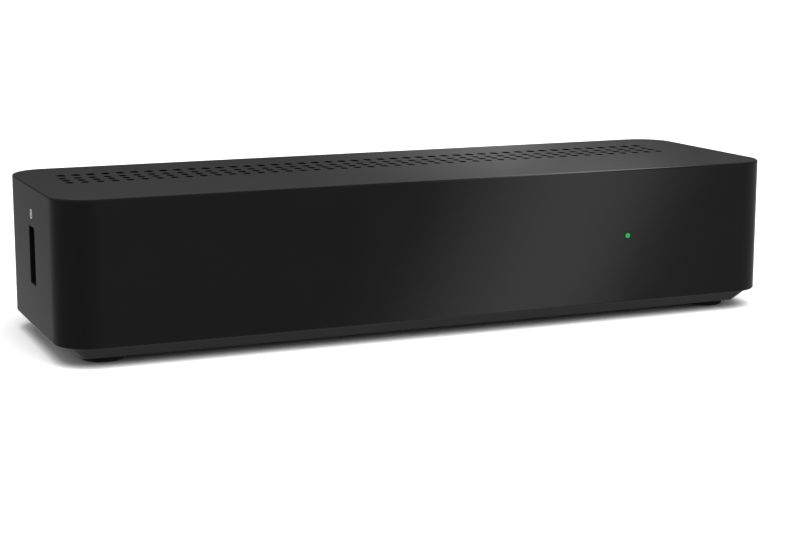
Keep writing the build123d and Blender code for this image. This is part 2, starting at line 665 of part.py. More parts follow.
# Decoder chip, thermal pad and finned heat sink, one on top of the other
CHIP_X = CHIP_PLACE_SHARE * BOARD_HALF
PARTS_FRONT_Y = BOARD_FRONT_Y + BOARD_EDGE_GAP
CHIP_Y = PARTS_FRONT_Y + SINK_SIDE / 2
PAD_Z = BOARD_Z + CHIP_HEIGHT
SINK_Z = PAD_Z + PAD_HEIGHT
with BuildPart() as decoder_chip:
    with Locations((CHIP_X, CHIP_Y, BOARD_Z)):
        Box(CHIP_SIDE, CHIP_SIDE, CHIP_HEIGHT, align=ON_LEVEL)

with BuildPart() as thermal_pad:
    with Locations((CHIP_X, CHIP_Y, PAD_Z)):
        Box(PAD_SIDE, PAD_SIDE, PAD_HEIGHT, align=ON_LEVEL)

fin_pitch = (SINK_SIDE - SINK_FIN_SHEET) / (SINK_FINS - 1)
with BuildPart() as heat_sink:
    with Locations((CHIP_X, CHIP_Y, SINK_Z)):
        Box(SINK_SIDE, SINK_SIDE, SINK_BASE, align=ON_LEVEL)
    with BuildSketch(Plane.XY.offset(SINK_Z + SINK_BASE)):
        with Locations((CHIP_X, CHIP_Y)):
            with GridLocations(fin_pitch, SINK_SIDE, SINK_FINS, 1):
                Rectangle(SINK_FIN_SHEET, SINK_SIDE)
    extrude(amount=SINK_HEIGHT - SINK_BASE)

# Memory chips, to the right of the heat sink
memory_x = CHIP_X + SINK_SIDE / 2 + PART_GAP + MEMORY_LENGTH / 2
memory_reach_y = (MEMORY_WIDTH + PART_GAP) / 2
memory_places = {
    "memory_chip_front": (memory_x, CHIP_Y - memory_reach_y, BOARD_Z),
    "memory_chip_rear": (memory_x, CHIP_Y + memory_reach_y, BOARD_Z),
}
memories = {}
for memory_name, place in memory_places.items():
    with BuildPart() as memory_chip:
        with Locations(place):
            Box(MEMORY_LENGTH, MEMORY_WIDTH, MEMORY_HEIGHT, align=ON_LEVEL)
    memories[memory_name] = memory_chip

# Clock crystal with the flash chip behind it, to the left of the heat sink
CLOCK_X = CHIP_X - SINK_SIDE / 2 - PART_GAP - CRYSTAL_LENGTH / 2
flash_y = PARTS_FRONT_Y + CRYSTAL_WIDTH + PART_GAP + FLASH_WIDTH / 2
with BuildPart() as clock_crystal:
    with BuildSketch(Plane.XY.offset(BOARD_Z)):
        with Locations((CLOCK_X, PARTS_FRONT_Y + CRYSTAL_WIDTH / 2)):
            SlotOverall(CRYSTAL_LENGTH, CRYSTAL_WIDTH)
    extrude(amount=CRYSTAL_HEIGHT)

with BuildPart() as flash_chip:
    with Locations((CLOCK_X, flash_y, BOARD_Z)):
        Box(FLASH_LENGTH, FLASH_WIDTH, FLASH_HEIGHT, align=ON_LEVEL)

# Network transformer, left of the crystal
TRANSFORMER_X = CLOCK_X - CRYSTAL_LENGTH / 2 - PART_GAP - TRANSFORMER_WIDTH / 2
with BuildPart() as lan_transformer:
    with Locations((TRANSFORMER_X, PARTS_FRONT_Y + TRANSFORMER_LENGTH / 2, BOARD_Z)):
        Box(TRANSFORMER_WIDTH, TRANSFORMER_LENGTH, TRANSFORMER_HEIGHT, align=ON_LEVEL)

# Power parts, left of the transformer: a row of capacitors with a row of inductors behind it
power_end_x = TRANSFORMER_X - TRANSFORMER_WIDTH / 2 - PART_GAP - CAPACITOR_RADIUS
POWER_X = power_end_x - (POWER_PARTS - 1) * POWER_PITCH / 2
CAPACITOR_Y = BOARD_FRONT_Y + CAPACITOR_INSET
INDUCTOR_Y = CAPACITOR_Y + CAPACITOR_RADIUS + PART_GAP + INDUCTOR_SIDE / 2
with BuildPart() as bulk_capacitors:
    with BuildSketch(Plane.XY.offset(BOARD_Z)):
        with Locations((POWER_X, CAPACITOR_Y)):
            with GridLocations(POWER_PITCH, POWER_PITCH, POWER_PARTS, 1):
                Circle(CAPACITOR_RADIUS)
    extrude(amount=CAPACITOR_HEIGHT)
    fillet(bulk_capacitors.edges().group_by(Axis.Z)[-1], CAPACITOR_ROUND)

with BuildPart() as power_inductors:
    with BuildSketch(Plane.XY.offset(BOARD_Z)) as inductor_plan:
        with Locations((POWER_X, INDUCTOR_Y)):
            with GridLocations(POWER_PITCH, POWER_PITCH, POWER_PARTS, 1):
                Rectangle(INDUCTOR_SIDE, INDUCTOR_SIDE)
        chamfer(inductor_plan.vertices(), INDUCTOR_BEVEL)
    extrude(amount=INDUCTOR_HEIGHT)

# Indicator light on the board, and the light pipe that carries it to the front
PIPE_Y = BOARD_FRONT_Y + PIPE_POST_INSET
PIPE_FOOT_Z = BOARD_Z + LED_HEIGHT + LED_AIR
PIPE_TOP_Z = LED_Z + PIPE_POST / 2
with BuildPart() as status_led:
    with Locations((LED_X, PIPE_Y, BOARD_Z)):
        Box(LED_LENGTH, LED_WIDTH, LED_HEIGHT, align=ON_LEVEL)

with BuildPart() as light_pipe:
    with Locations((LED_X, PIPE_Y, PIPE_FOOT_Z)):
        Box(PIPE_POST, PIPE_POST, PIPE_TOP_Z - PIPE_FOOT_Z, align=ON_LEVEL)
    mirror_edge = light_pipe.edges().filter_by(Axis.X).group_by(Axis.Z)[-1].sort_by(Axis.Y)[-1]
    chamfer(mirror_edge, PIPE_MIRROR)
    with BuildSketch(across(FRONT_Y)):
        with Locations((LED_X, LED_Z)):
            Circle(PIPE_RADIUS)
    extrude(amount=-(PIPE_Y - FRONT_Y))
    with BuildSketch(Plane.XY.offset(BOARD_Z)):
        with Locations(
            (LED_X - PIPE_POST / 2 + PIPE_LEG / 2, PIPE_Y),
            (LED_X + PIPE_POST / 2 - PIPE_LEG / 2, PIPE_Y),
        ):
            Rectangle(PIPE_LEG, PIPE_POST)
    extrude(amount=PIPE_FOOT_Z - BOARD_Z)

# Infrared receiver: a domed block on three legs, behind the thinned window in the cover
RECEIVER_FACE_Y = FRONT_Y + WALL + RECEIVER_AIR + RECEIVER_DOME / 2
receiver_legs_y = RECEIVER_FACE_Y + RECEIVER_THICKNESS - RECEIVER_LEG
with BuildPart() as ir_receiver:
    with Locations((RECEIVER_X, RECEIVER_FACE_Y, LED_Z)):
        Box(RECEIVER_WIDTH, RECEIVER_THICKNESS, RECEIVER_HEIGHT, align=RUN_REARWARD)
    with Locations((RECEIVER_X, RECEIVER_FACE_Y + RECEIVER_DOME / 2, LED_Z)):
        Sphere(RECEIVER_DOME)
    with BuildSketch(Plane.XY.offset(BOARD_Z)):
        with Locations((RECEIVER_X, receiver_legs_y)):
            with GridLocations(RECEIVER_LEG_PITCH, RECEIVER_LEG, 3, 1):
                Rectangle(RECEIVER_LEG, RECEIVER_LEG)
    extrude(amount=LED_Z - BOARD_Z)

# USB socket: a sheet shell on four legs around a moulded block with its tongue
with BuildPart() as usb_shell:
    with BuildSketch(Plane.YZ.offset(USB_MOUTH_X)):
        with Locations((USB_Y, USB_Z)):
            Rectangle(USB_SHELL_WIDTH, USB_SHELL_HEIGHT)
            Rectangle(USB_MOUTH_WIDTH, USB_MOUTH_HEIGHT, mode=Mode.SUBTRACT)
    extrude(amount=USB_DEPTH)
    with BuildSketch(Plane.XY.offset(BOARD_Z)):
        for leg_x in (USB_MOUTH_X + USB_LEG_INSET, USB_MOUTH_X + USB_DEPTH - USB_LEG_INSET):
            for leg_side in (-1, 1):
                leg_y = USB_Y + leg_side * (USB_SHELL_WIDTH - USB_SHEET) / 2
                with Locations((leg_x, leg_y)):
                    Rectangle(USB_LEG_LENGTH, USB_SHEET)
    extrude(amount=USB_STAND + USB_SHEET)

with BuildPart() as usb_tongue:
    with BuildSketch(Plane.YZ.offset(USB_MOUTH_X + USB_DEPTH - USB_BACK)):
        with Locations((USB_Y, USB_Z)):
            Rectangle(USB_MOUTH_WIDTH, USB_MOUTH_HEIGHT)
    extrude(amount=USB_BACK)
    with BuildSketch(Plane.YZ.offset(USB_MOUTH_X + USB_TONGUE_RECESS)):
        with Locations((USB_Y + USB_TONGUE_SHIFT, USB_Z)):
            Rectangle(USB_TONGUE_THICKNESS, USB_TONGUE_HEIGHT)
    extrude(amount=USB_DEPTH - USB_TONGUE_RECESS)

# Tuner: a shield can on the board with small parts in front of it and its chip inside
CAN_X = (RF_IN_X + RF_OUT_X) / 2
CAN_REAR_Y = PANEL_FRONT_Y - RF_SHOULDER
CAN_Y = CAN_REAR_Y - CAN_DEPTH / 2
can_width = RF_IN_X - RF_OUT_X + 2 * CAN_MARGIN
with BuildPart() as tuner_can:
    with BuildSketch(Plane.XY.offset(BOARD_Z)):
        with Locations((CAN_X, CAN_Y)):
            RectangleRounded(can_width, CAN_DEPTH, CAN_ROUND)
    extrude(amount=CAN_HEIGHT)
    with BuildSketch(Plane.XY.offset(BOARD_Z)):
        with Locations((CAN_X, CAN_Y)):
            Rectangle(can_width - 2 * CAN_SHEET, CAN_DEPTH - 2 * CAN_SHEET)
    extrude(amount=CAN_HEIGHT - CAN_SHEET, mode=Mode.SUBTRACT)

small_rows_y = (SMALL_PART_ROWS - 1) * SMALL_PART_PITCH + SMALL_PART_WIDTH
with BuildPart() as surface_parts:
    with BuildSketch(Plane.XY.offset(BOARD_Z)):
        with Locations((CAN_X, CAN_REAR_Y - CAN_DEPTH - PART_GAP - small_rows_y / 2)):
            with GridLocations(SMALL_PART_PITCH, SMALL_PART_PITCH, SMALL_PART_COLUMNS, SMALL_PART_ROWS):
                Rectangle(SMALL_PART_LENGTH, SMALL_PART_WIDTH)
    extrude(amount=SMALL_PART_HEIGHT)

with BuildPart() as tuner_chip:
    with Locations((CAN_X, CAN_Y, BOARD_Z)):
        Box(TUNER_CHIP_SIDE, TUNER_CHIP_SIDE, TUNER_CHIP_HEIGHT, align=ON_LEVEL)

# Antenna sockets: a hexagonal shoulder against the panel, a root through it and a plain-sized free end
RF_FREE_Y = PANEL_REAR_Y + RF_WASHER_SHEET + RF_NUT_HEIGHT
rf_places = {"rf_in": (RF_IN_X, RF_Z), "rf_out": (RF_OUT_X, RF_Z)}
rf_sockets = {}
for rf_name, place in rf_places.items():
    with BuildPart() as rf_socket:
        with BuildSketch(across(PANEL_FRONT_Y)):
            with Locations(place):
                RegularPolygon(RF_FLATS / 2, 6, major_radius=False)
        extrude(amount=-RF_SHOULDER, dir=(0, 1, 0))
        with BuildSketch(across(CAN_REAR_Y)):
            with Locations(place):
                Circle(RF_ROOT_RADIUS)
        extrude(amount=RF_FREE_Y - CAN_REAR_Y, dir=(0, 1, 0))
        with BuildSketch(across(RF_FREE_Y)):
            with Locations(place):
                Circle(RF_RADIUS)
        extrude(amount=RF_END_Y - RF_FREE_Y, dir=(0, 1, 0))
        chamfer(rf_socket.edges().group_by(Axis.Y)[-1], RF_MOUTH_ROUND)
        with BuildSketch(across(CAN_REAR_Y)):
            with Locations(place):
                Circle(RF_BORE_RADIUS)
        extrude(amount=RF_END_Y - CAN_REAR_Y + OVERRUN, dir=(0, 1, 0), mode=Mode.SUBTRACT)
    with BuildPart() as rf_insulator:
        with BuildSketch(across(CAN_REAR_Y)):
            with Locations(place):
                Circle(RF_BORE_RADIUS - PLUG_GAP)
        extrude(amount=RF_END_Y - RF_INSULATOR_RECESS - CAN_REAR_Y, dir=(0, 1, 0))
        with BuildSketch(across(RF_END_Y - RF_INSULATOR_RECESS)):
            with Locations(place):
                Circle(RF_CONTACT_RADIUS)
        extrude(amount=RF_CONTACT_DEPTH, dir=(0, -1, 0), mode=Mode.SUBTRACT)
    rf_sockets[rf_name + "_socket"] = rf_socket
    rf_sockets[rf_name + "_insulator"] = rf_insulator

with BuildPart() as rf_washers:
    with BuildSketch(across(PANEL_REAR_Y)):
        with Locations(*rf_places.values()):
            Circle(RF_WASHER_RADIUS)
            Circle(RF_ROOT_RADIUS + PLUG_GAP, mode=Mode.SUBTRACT)
    extrude(amount=RF_WASHER_SHEET, dir=(0, 1, 0))

with BuildPart() as rf_nuts:
    with BuildSketch(across(PANEL_REAR_Y + RF_WASHER_SHEET)):
        with Locations(*rf_places.values()):
            RegularPolygon(RF_NUT_FLATS / 2, 6, major_radius=False)
            Circle(RF_ROOT_RADIUS + PLUG_GAP, mode=Mode.SUBTRACT)
    extrude(amount=RF_NUT_HEIGHT, dir=(0, 1, 0))

# Digital video socket: a sheet shell around a moulded block with its tongue
with BuildPart() as video_shell:
    with BuildSketch(across(MOUTH_Y)):
        video_outline(VIDEO_SHELL_WIDTH, VIDEO_SHELL_HEIGHT, VIDEO_BEVEL)
    extrude(amount=VIDEO_DEPTH, dir=(0, -1, 0))
    with BuildSketch(across(MOUTH_Y + OVERRUN)):
        video_outline(VIDEO_MOUTH_WIDTH, VIDEO_MOUTH_HEIGHT, VIDEO_BEVEL)
    extrude(amount=VIDEO_DEPTH + 2 * OVERRUN, dir=(0, -1, 0), mode=Mode.SUBTRACT)

with BuildPart() as video_tongue:
    with BuildSketch(across(MOUTH_Y - VIDEO_DEPTH)):
        video_outline(VIDEO_MOUTH_WIDTH, VIDEO_MOUTH_HEIGHT, VIDEO_BEVEL)
    extrude(amount=VIDEO_BACK, dir=(0, 1, 0))
    with BuildSketch(across(MOUTH_Y - VIDEO_DEPTH)):
        with Locations((VIDEO_X, VIDEO_Z)):
            Rectangle(VIDEO_TONGUE_WIDTH, VIDEO_TONGUE_THICKNESS)
    extrude(amount=VIDEO_DEPTH - VIDEO_TONGUE_RECESS, dir=(0, 1, 0))

# Network socket: a shield around a moulded block, and the row of spring contacts in its roof
LAN_CAVITY_Z = BOARD_Z + LAN_CAVITY_RISE
LAN_ROOF_Z = LAN_CAVITY_Z + LAN_CAVITY_HEIGHT
with BuildPart() as lan_shield:
    with BuildSketch(across(MOUTH_Y)):
        with Locations((LAN_X, LAN_Z)):
            Rectangle(LAN_WIDTH, LAN_HEIGHT)
        with Locations((LAN_X, BOARD_Z)):
            Rectangle(
                LAN_WIDTH - 2 * LAN_SHEET,
                LAN_HEIGHT - LAN_SHEET,
                align=(Align.CENTER, Align.MIN),
                mode=Mode.SUBTRACT,
            )
    extrude(amount=LAN_DEPTH, dir=(0, -1, 0))

with BuildPart() as lan_housing:
    with BuildSketch(across(MOUTH_Y)):
        with Locations((LAN_X, BOARD_Z)):
            Rectangle(
                LAN_WIDTH - 2 * LAN_SHEET,
                LAN_HEIGHT - LAN_SHEET,
                align=(Align.CENTER, Align.MIN),
            )
    extrude(amount=LAN_DEPTH, dir=(0, -1, 0))
    with BuildSketch(across(MOUTH_Y + OVERRUN)):
        with Locations((LAN_X, LAN_CAVITY_Z)):
            Rectangle(LAN_CAVITY_WIDTH, LAN_CAVITY_HEIGHT, align=(Align.CENTER, Align.MIN))
            Rectangle(LAN_LATCH_WIDTH, LAN_LATCH_DROP, align=(Align.CENTER, Align.MAX))
        with Locations((LAN_X, LAN_CAVITY_Z - LAN_LATCH_DROP)):
            Rectangle(LAN_KEY_WIDTH, LAN_KEY_DROP, align=(Align.CENTER, Align.MAX))
    extrude(amount=LAN_CAVITY_DEPTH + OVERRUN, dir=(0, -1, 0), mode=Mode.SUBTRACT)

with BuildPart() as lan_contacts:
    with Locations((LAN_X, MOUTH_Y - LAN_CONTACT_INSET, LAN_ROOF_Z - LAN_CONTACT_THICKNESS / 2)):
        with GridLocations(LAN_CONTACT_PITCH, LAN_CONTACT_LENGTH, LAN_CONTACTS, 1):
            Box(LAN_CONTACT_WIDTH, LAN_CONTACT_LENGTH, LAN_CONTACT_THICKNESS, align=RUN_FORWARD)

# Analogue jack: a moulded block with a round bush through the panel
with BuildPart() as av_jack:
    with Locations((AV_X, PANEL_FRONT_Y - PANEL_GAP, AV_Z)):
        Box(AV_WIDTH, AV_DEPTH, AV_HEIGHT, align=RUN_FORWARD)
    with BuildSketch(across(PANEL_FRONT_Y - PANEL_GAP)):
        with Locations((AV_X, AV_Z)):
            Circle(AV_BUSH_RADIUS)
    extrude(amount=AV_END_Y - PANEL_FRONT_Y + PANEL_GAP, dir=(0, 1, 0))
    chamfer(av_jack.edges().group_by(Axis.Y)[-1], AV_BUSH_ROUND)
    with BuildSketch(across(AV_END_Y)):
        with Locations((AV_X, AV_Z)):
            Circle(AV_BORE_RADIUS)
    extrude(amount=AV_BORE_DEPTH, dir=(0, -1, 0), mode=Mode.SUBTRACT)

# Digital sound jack: a moulded block with a boss, a barrel on it and a coloured insert in the barrel
with BuildPart() as coax_body:
    with Locations((COAX_X, COAX_BACK_Y - COAX_DEPTH / 2, BOARD_Z)):
        Box(COAX_WIDTH, COAX_DEPTH, COAX_HEIGHT, align=ON_LEVEL)
    with BuildSketch(across(COAX_BACK_Y)):
        with Locations((COAX_X, COAX_Z)):
            Circle(COAX_BOSS_RADIUS)
    extrude(amount=MOUTH_Y - COAX_BACK_Y, dir=(0, 1, 0))

with BuildPart() as coax_barrel:
    with BuildSketch(across(MOUTH_Y)):
        with Locations((COAX_X, COAX_Z)):
            Circle(COAX_BARREL_RADIUS)
            Circle(COAX_BARREL_RADIUS - COAX_BARREL_SHEET, mode=Mode.SUBTRACT)
    extrude(amount=COAX_BARREL_LENGTH, dir=(0, 1, 0))

with BuildPart() as coax_insert:
    with BuildSketch(across(MOUTH_Y)):
        with Locations((COAX_X, COAX_Z)):
            Circle(COAX_BARREL_RADIUS - COAX_BARREL_SHEET - PLUG_GAP)
    extrude(amount=COAX_BARREL_LENGTH - COAX_INSERT_RECESS, dir=(0, 1, 0))
    with BuildSketch(across(COAX_END_Y - COAX_INSERT_RECESS)):
        with Locations((COAX_X, COAX_Z)):
            Circle(COAX_BORE_RADIUS)
    extrude(amount=COAX_BORE_DEPTH, dir=(0, -1, 0), mode=Mode.SUBTRACT)

# Power inlet: a moulded block with a round mouth, and the pin in it
with BuildPart() as dc_jack:
    with Locations((DC_X, MOUTH_Y - DC_DEPTH / 2, BOARD_Z)):
        Box(DC_WIDTH, DC_DEPTH, DC_HEIGHT, align=ON_LEVEL)
    with BuildSketch(across(MOUTH_Y)):
        with Locations((DC_X, DC_Z)):
            Circle(DC_BORE_RADIUS)
    extrude(amount=DC_BORE_DEPTH, dir=(0, -1, 0), mode=Mode.SUBTRACT)

with BuildPart() as dc_pin:
    with BuildSketch(across(MOUTH_Y - DC_BORE_DEPTH)):
        with Locations((DC_X, DC_Z)):
            Circle(DC_PIN_RADIUS)
    extrude(amount=DC_BORE_DEPTH - DC_PIN_RECESS, dir=(0, 1, 0))
    chamfer(dc_pin.edges().group_by(Axis.Y)[-1], DC_PIN_ROUND)

# Power switch: a frame through the panel, with bearing holes for the rocker in its side walls
with BuildPart() as switch_frame:
    with BuildSketch(across(PANEL_REAR_Y)):
        with Locations((SWITCH_X, SWITCH_Z)):
            Rectangle(SWITCH_BODY_WIDTH, SWITCH_BODY_HEIGHT)
    extrude(amount=SWITCH_DEPTH, dir=(0, -1, 0))
    with BuildSketch(across(PANEL_REAR_Y)):
        with Locations((SWITCH_X, SWITCH_Z)):
            Rectangle(SWITCH_BODY_WIDTH + 2 * SWITCH_LIP, SWITCH_BODY_HEIGHT + 2 * SWITCH_LIP)
    extrude(amount=SWITCH_BEZEL, dir=(0, 1, 0))
    with BuildSketch(across(SWITCH_FACE_Y)):
        with Locations((SWITCH_X, SWITCH_Z)):
            Rectangle(CAVITY_WIDTH, 2 * CAVITY_HALF)
    extrude(amount=PIVOT_DEPTH + CAVITY_FLOOR, dir=(0, -1, 0), mode=Mode.SUBTRACT)
    with BuildSketch(Plane.YZ.offset(SWITCH_X - SWITCH_BODY_WIDTH / 2 - OVERRUN)):
        with Locations((PIVOT_Y, SWITCH_Z)):
            Circle(TRUNNION_RADIUS + PLUG_GAP)
    extrude(amount=SWITCH_BODY_WIDTH + 2 * OVERRUN, mode=Mode.SUBTRACT)

# Rocker: drawn level about its pivot and turned to its rest, with the upper end pressed in
rocker_plane = Plane(
    origin=(SWITCH_X, PIVOT_Y, SWITCH_Z),
    x_dir=(0, -sin(TILT), cos(TILT)),
    z_dir=(-1, 0, 0),
)
trunnion_reach = ROCKER_WIDTH / 2 + ROCKER_SIDE_GAP + SWITCH_WALL - TRUNNION_END_GAP
with BuildPart() as power_rocker:
    with BuildSketch(rocker_plane):
        Polygon(
            (-ROCKER_HALF_LENGTH, ROCKER_END),
            (0, ROCKER_VALLEY),
            (ROCKER_HALF_LENGTH, ROCKER_END),
            (ROCKER_HALF_LENGTH, -ROCKER_SKIRT),
            (-ROCKER_HALF_LENGTH, -ROCKER_SKIRT),
            align=None,
        )
    extrude(amount=ROCKER_WIDTH / 2, both=True)
    with BuildSketch(rocker_plane):
        Circle(TRUNNION_RADIUS)
    extrude(amount=trunnion_reach, both=True)

with BuildPart() as switch_terminals:
    with BuildSketch(Plane.XY.offset(BOARD_Z)):
        terminal_y = PANEL_REAR_Y - SWITCH_DEPTH + TERMINAL_INSET
        with Locations((SWITCH_X, terminal_y)):
            with GridLocations(TERMINAL_SPACING, TERMINAL_SHEET, 2, 1):
                Rectangle(TERMINAL_WIDTH, TERMINAL_SHEET)
    extrude(amount=SWITCH_STAND)

# Every piece is written out under its own name
pieces = {
    "top_cover": top_cover,
    "base_tray": base_tray,
    **feet,
    "case_screws": case_screws,
    "main_board": main_board,
    "board_screws": board_screws,
    "rear_panel": rear_panel,
    "decoder_chip": decoder_chip,
    "thermal_pad": thermal_pad,
    "heat_sink": heat_sink,
    **memories,
    "flash_chip": flash_chip,
    "clock_crystal": clock_crystal,
    "lan_transformer": lan_transformer,
    "bulk_capacitors": bulk_capacitors,
    "power_inductors": power_inductors,
    "surface_parts": surface_parts,
    "status_led": status_led,
    "light_pipe": light_pipe,
    "ir_receiver": ir_receiver,
    "usb_shell": usb_shell,
    "usb_tongue": usb_tongue,
    "tuner_can": tuner_can,
    "tuner_chip": tuner_chip,
    **rf_sockets,
    "rf_washers": rf_washers,
    "rf_nuts": rf_nuts,
    "video_shell": video_shell,
    "video_tongue": video_tongue,
    "lan_shield": lan_shield,
    "lan_housing": lan_housing,
    "lan_contacts": lan_contacts,
    "av_jack": av_jack,
    "coax_body": coax_body,
    "coax_barrel": coax_barrel,
    "coax_insert": coax_insert,
    "dc_jack": dc_jack,
    "dc_pin": dc_pin,
    "switch_frame": switch_frame,
    "power_rocker": power_rocker,
    "switch_terminals": switch_terminals,
}
for piece_name, piece in pieces.items():
    piece.part.label = piece_name
    export_step(piece.part, f"parts/{piece_name}.step")
    size = piece.part.bounding_box().size
    print(f"{piece_name}: {size.X:.2f} x {size.Y:.2f} x {size.Z:.2f} mm, {piece.part.volume:.0f} mm3")
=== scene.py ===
# %% [markdown]
# # A TV decoder box, dressed in Blender
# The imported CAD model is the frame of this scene: it says where every piece is, in metres.
# Blender never moves it. The lesson gives each piece its finish, swaps plain solids for more
# detailed ones, and lights the box as a studio photographer would light a small black product.

# %% Load the frame
import json
import math
from collections import Counter

import bmesh
import bpy
from mathutils import Matrix, Vector

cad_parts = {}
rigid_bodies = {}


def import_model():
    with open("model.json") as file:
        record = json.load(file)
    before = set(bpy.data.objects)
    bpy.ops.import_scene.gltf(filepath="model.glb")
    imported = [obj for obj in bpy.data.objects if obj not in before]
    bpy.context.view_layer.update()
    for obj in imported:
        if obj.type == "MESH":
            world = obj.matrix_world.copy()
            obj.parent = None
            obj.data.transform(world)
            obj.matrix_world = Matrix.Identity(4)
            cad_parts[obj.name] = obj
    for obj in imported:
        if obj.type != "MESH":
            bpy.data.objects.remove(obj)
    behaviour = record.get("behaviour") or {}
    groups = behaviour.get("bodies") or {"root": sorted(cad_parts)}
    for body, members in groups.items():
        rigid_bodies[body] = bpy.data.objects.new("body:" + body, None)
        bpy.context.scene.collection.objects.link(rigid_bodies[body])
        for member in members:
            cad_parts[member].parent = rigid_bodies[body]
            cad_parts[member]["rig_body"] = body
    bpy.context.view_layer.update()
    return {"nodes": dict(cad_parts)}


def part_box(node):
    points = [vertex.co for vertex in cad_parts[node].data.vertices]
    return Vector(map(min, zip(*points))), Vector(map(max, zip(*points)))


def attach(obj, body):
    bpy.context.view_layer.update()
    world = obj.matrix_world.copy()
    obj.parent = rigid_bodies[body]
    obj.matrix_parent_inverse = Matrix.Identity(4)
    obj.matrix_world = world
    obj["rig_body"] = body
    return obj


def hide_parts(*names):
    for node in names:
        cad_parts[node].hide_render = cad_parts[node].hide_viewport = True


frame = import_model()
nodes = frame["nodes"]
scene = bpy.context.scene
MM = 0.001

# %% [markdown]
# ## The camera
# The photograph was taken from the front and a little to the left, from just above the lid.
# A camera can be aimed by eye, but edges that meet at right angles give more: from them the
# lens, the place and the two turns below were worked out once, and the box fills the frame as
# it does in the picture. The lens is long, so the far end looks only a little smaller.

# %% Place the camera
SENSOR_WIDTH, LENS = 36.0, 80.745
CAMERA_PLACE, LOOK_DOWN, LOOK_RIGHT = (-0.163525, -0.38779, 0.089475), 10.606, 22.971


def add_object(name, data):
    """Puts a mesh, a lamp or a camera into the scene as an object of that name."""
    data.name = name
    made = bpy.data.objects.new(name, data)
    scene.collection.objects.link(made)
    return made


camera = add_object("photo_camera", bpy.data.cameras.new("photo_camera"))
camera.data.sensor_width, camera.data.lens = SENSOR_WIDTH, LENS
camera.location = CAMERA_PLACE
camera.rotation_euler = (math.radians(90 - LOOK_DOWN), 0, math.radians(-LOOK_RIGHT))
scene.camera = camera
scene.view_settings.view_transform = "Standard"
print("camera", [round(v, 3) for v in camera.location])

# %% [markdown]
# ## Wiring nodes from Python
# Node trees are easier to read as sums than as lists of links. Here a socket is wrapped in a
# small class, so that `1 - mask` adds a Math node by itself. Every other node comes from one
# method, which sets the node's own settings first, because some of them change its sockets.
# A list of signals makes several links to one socket, as a Mesh Boolean node needs.

# %% Sums on sockets
class Signal:
    """An output socket that can be used in a sum; each step of the sum adds a Math node."""

    def __init__(self, wires, socket):
        self.wires = wires
        self.socket = socket

    def _step(self, operation, first, second):
        return self.wires.node("ShaderNodeMath", {"operation": operation}, {0: first, 1: second})

    def __add__(self, other):
        return self._step("ADD", self, other)

    def __sub__(self, other):
        return self._step("SUBTRACT", self, other)

    def __mul__(self, other):
        return self._step("MULTIPLY", self, other)

    def __truediv__(self, other):
        return self._step("DIVIDE", self, other)

    def __radd__(self, other):
        return self._step("ADD", other, self)

    def __rsub__(self, other):
        return self._step("SUBTRACT", other, self)

    def __rmul__(self, other):
        return self._step("MULTIPLY", other, self)


class Wires:
    """A node tree with one way to add a node to it."""

    def __init__(self, tree):
        self.tree = tree

    def node(self, kind, settings=None, sockets=None, output=0):
        """Adds a node, sets its settings, then its sockets, and gives back one of its outputs."""
        made = self.tree.nodes.new(kind)
        for name, value in (settings or {}).items():
            if name == "stops":
                ramp = made.color_ramp
                while len(ramp.elements) < len(value):
                    ramp.elements.new(1.0)
                for stop, (place, colour) in zip(ramp.elements, value):
                    stop.position, stop.color = place, (*colour, 1)
            else:
                setattr(made, name, value)
        for name, value in (sockets or {}).items():
            for one in value if isinstance(value, list) else [value]:
                if isinstance(one, Signal):
                    self.tree.links.new(one.socket, made.inputs[name])
                else:
                    made.inputs[name].default_value = one
        return Signal(self, made.outputs[output]) if made.outputs else None

    def blend(self, colour_a, colour_b, factor):
        """Colour a where the factor is 0, colour b where it is 1; each a signal or red, green and blue."""
        first, second = (c if isinstance(c, Signal) else (*c, 1) for c in (colour_a, colour_b))
        return self.node("ShaderNodeMix", {"data_type": "RGBA"}, {0: factor, 6: first, 7: second}, 2)

    def limit(self, value):
        """The value, held between 0 and 1."""
        return self.node("ShaderNodeClamp", {}, {"Value": value})

    def edge(self, value, start, end):
        """0 before the start and 1 past the end, with a straight ramp between them."""
        return self.limit((value - start) / (end - start))

    def between(self, low, high, share):
        """The low value where the share is 0 and the high value where it is 1."""
        return low + (high - low) * share

    def object_place(self):
        """The place on the object's own axes, in metres."""
        return self.node("ShaderNodeTexCoord", output="Object")

    def axis(self, place, name):
        """One coordinate of a place."""
        return self.node("ShaderNodeSeparateXYZ", {}, {0: place}, name)


def grey(level):
    return (level, level, level)


print("wiring ready")

# %% [markdown]
# ## A finish under way
# Every finish starts as a Principled shader with the object's own coordinates, so a pattern is as
# wide on the piece as it is on the real thing, and stays in place when the piece is exported. The
# class below only shortens what each finish repeats: noise or cells of a given size, a bump, a feed.

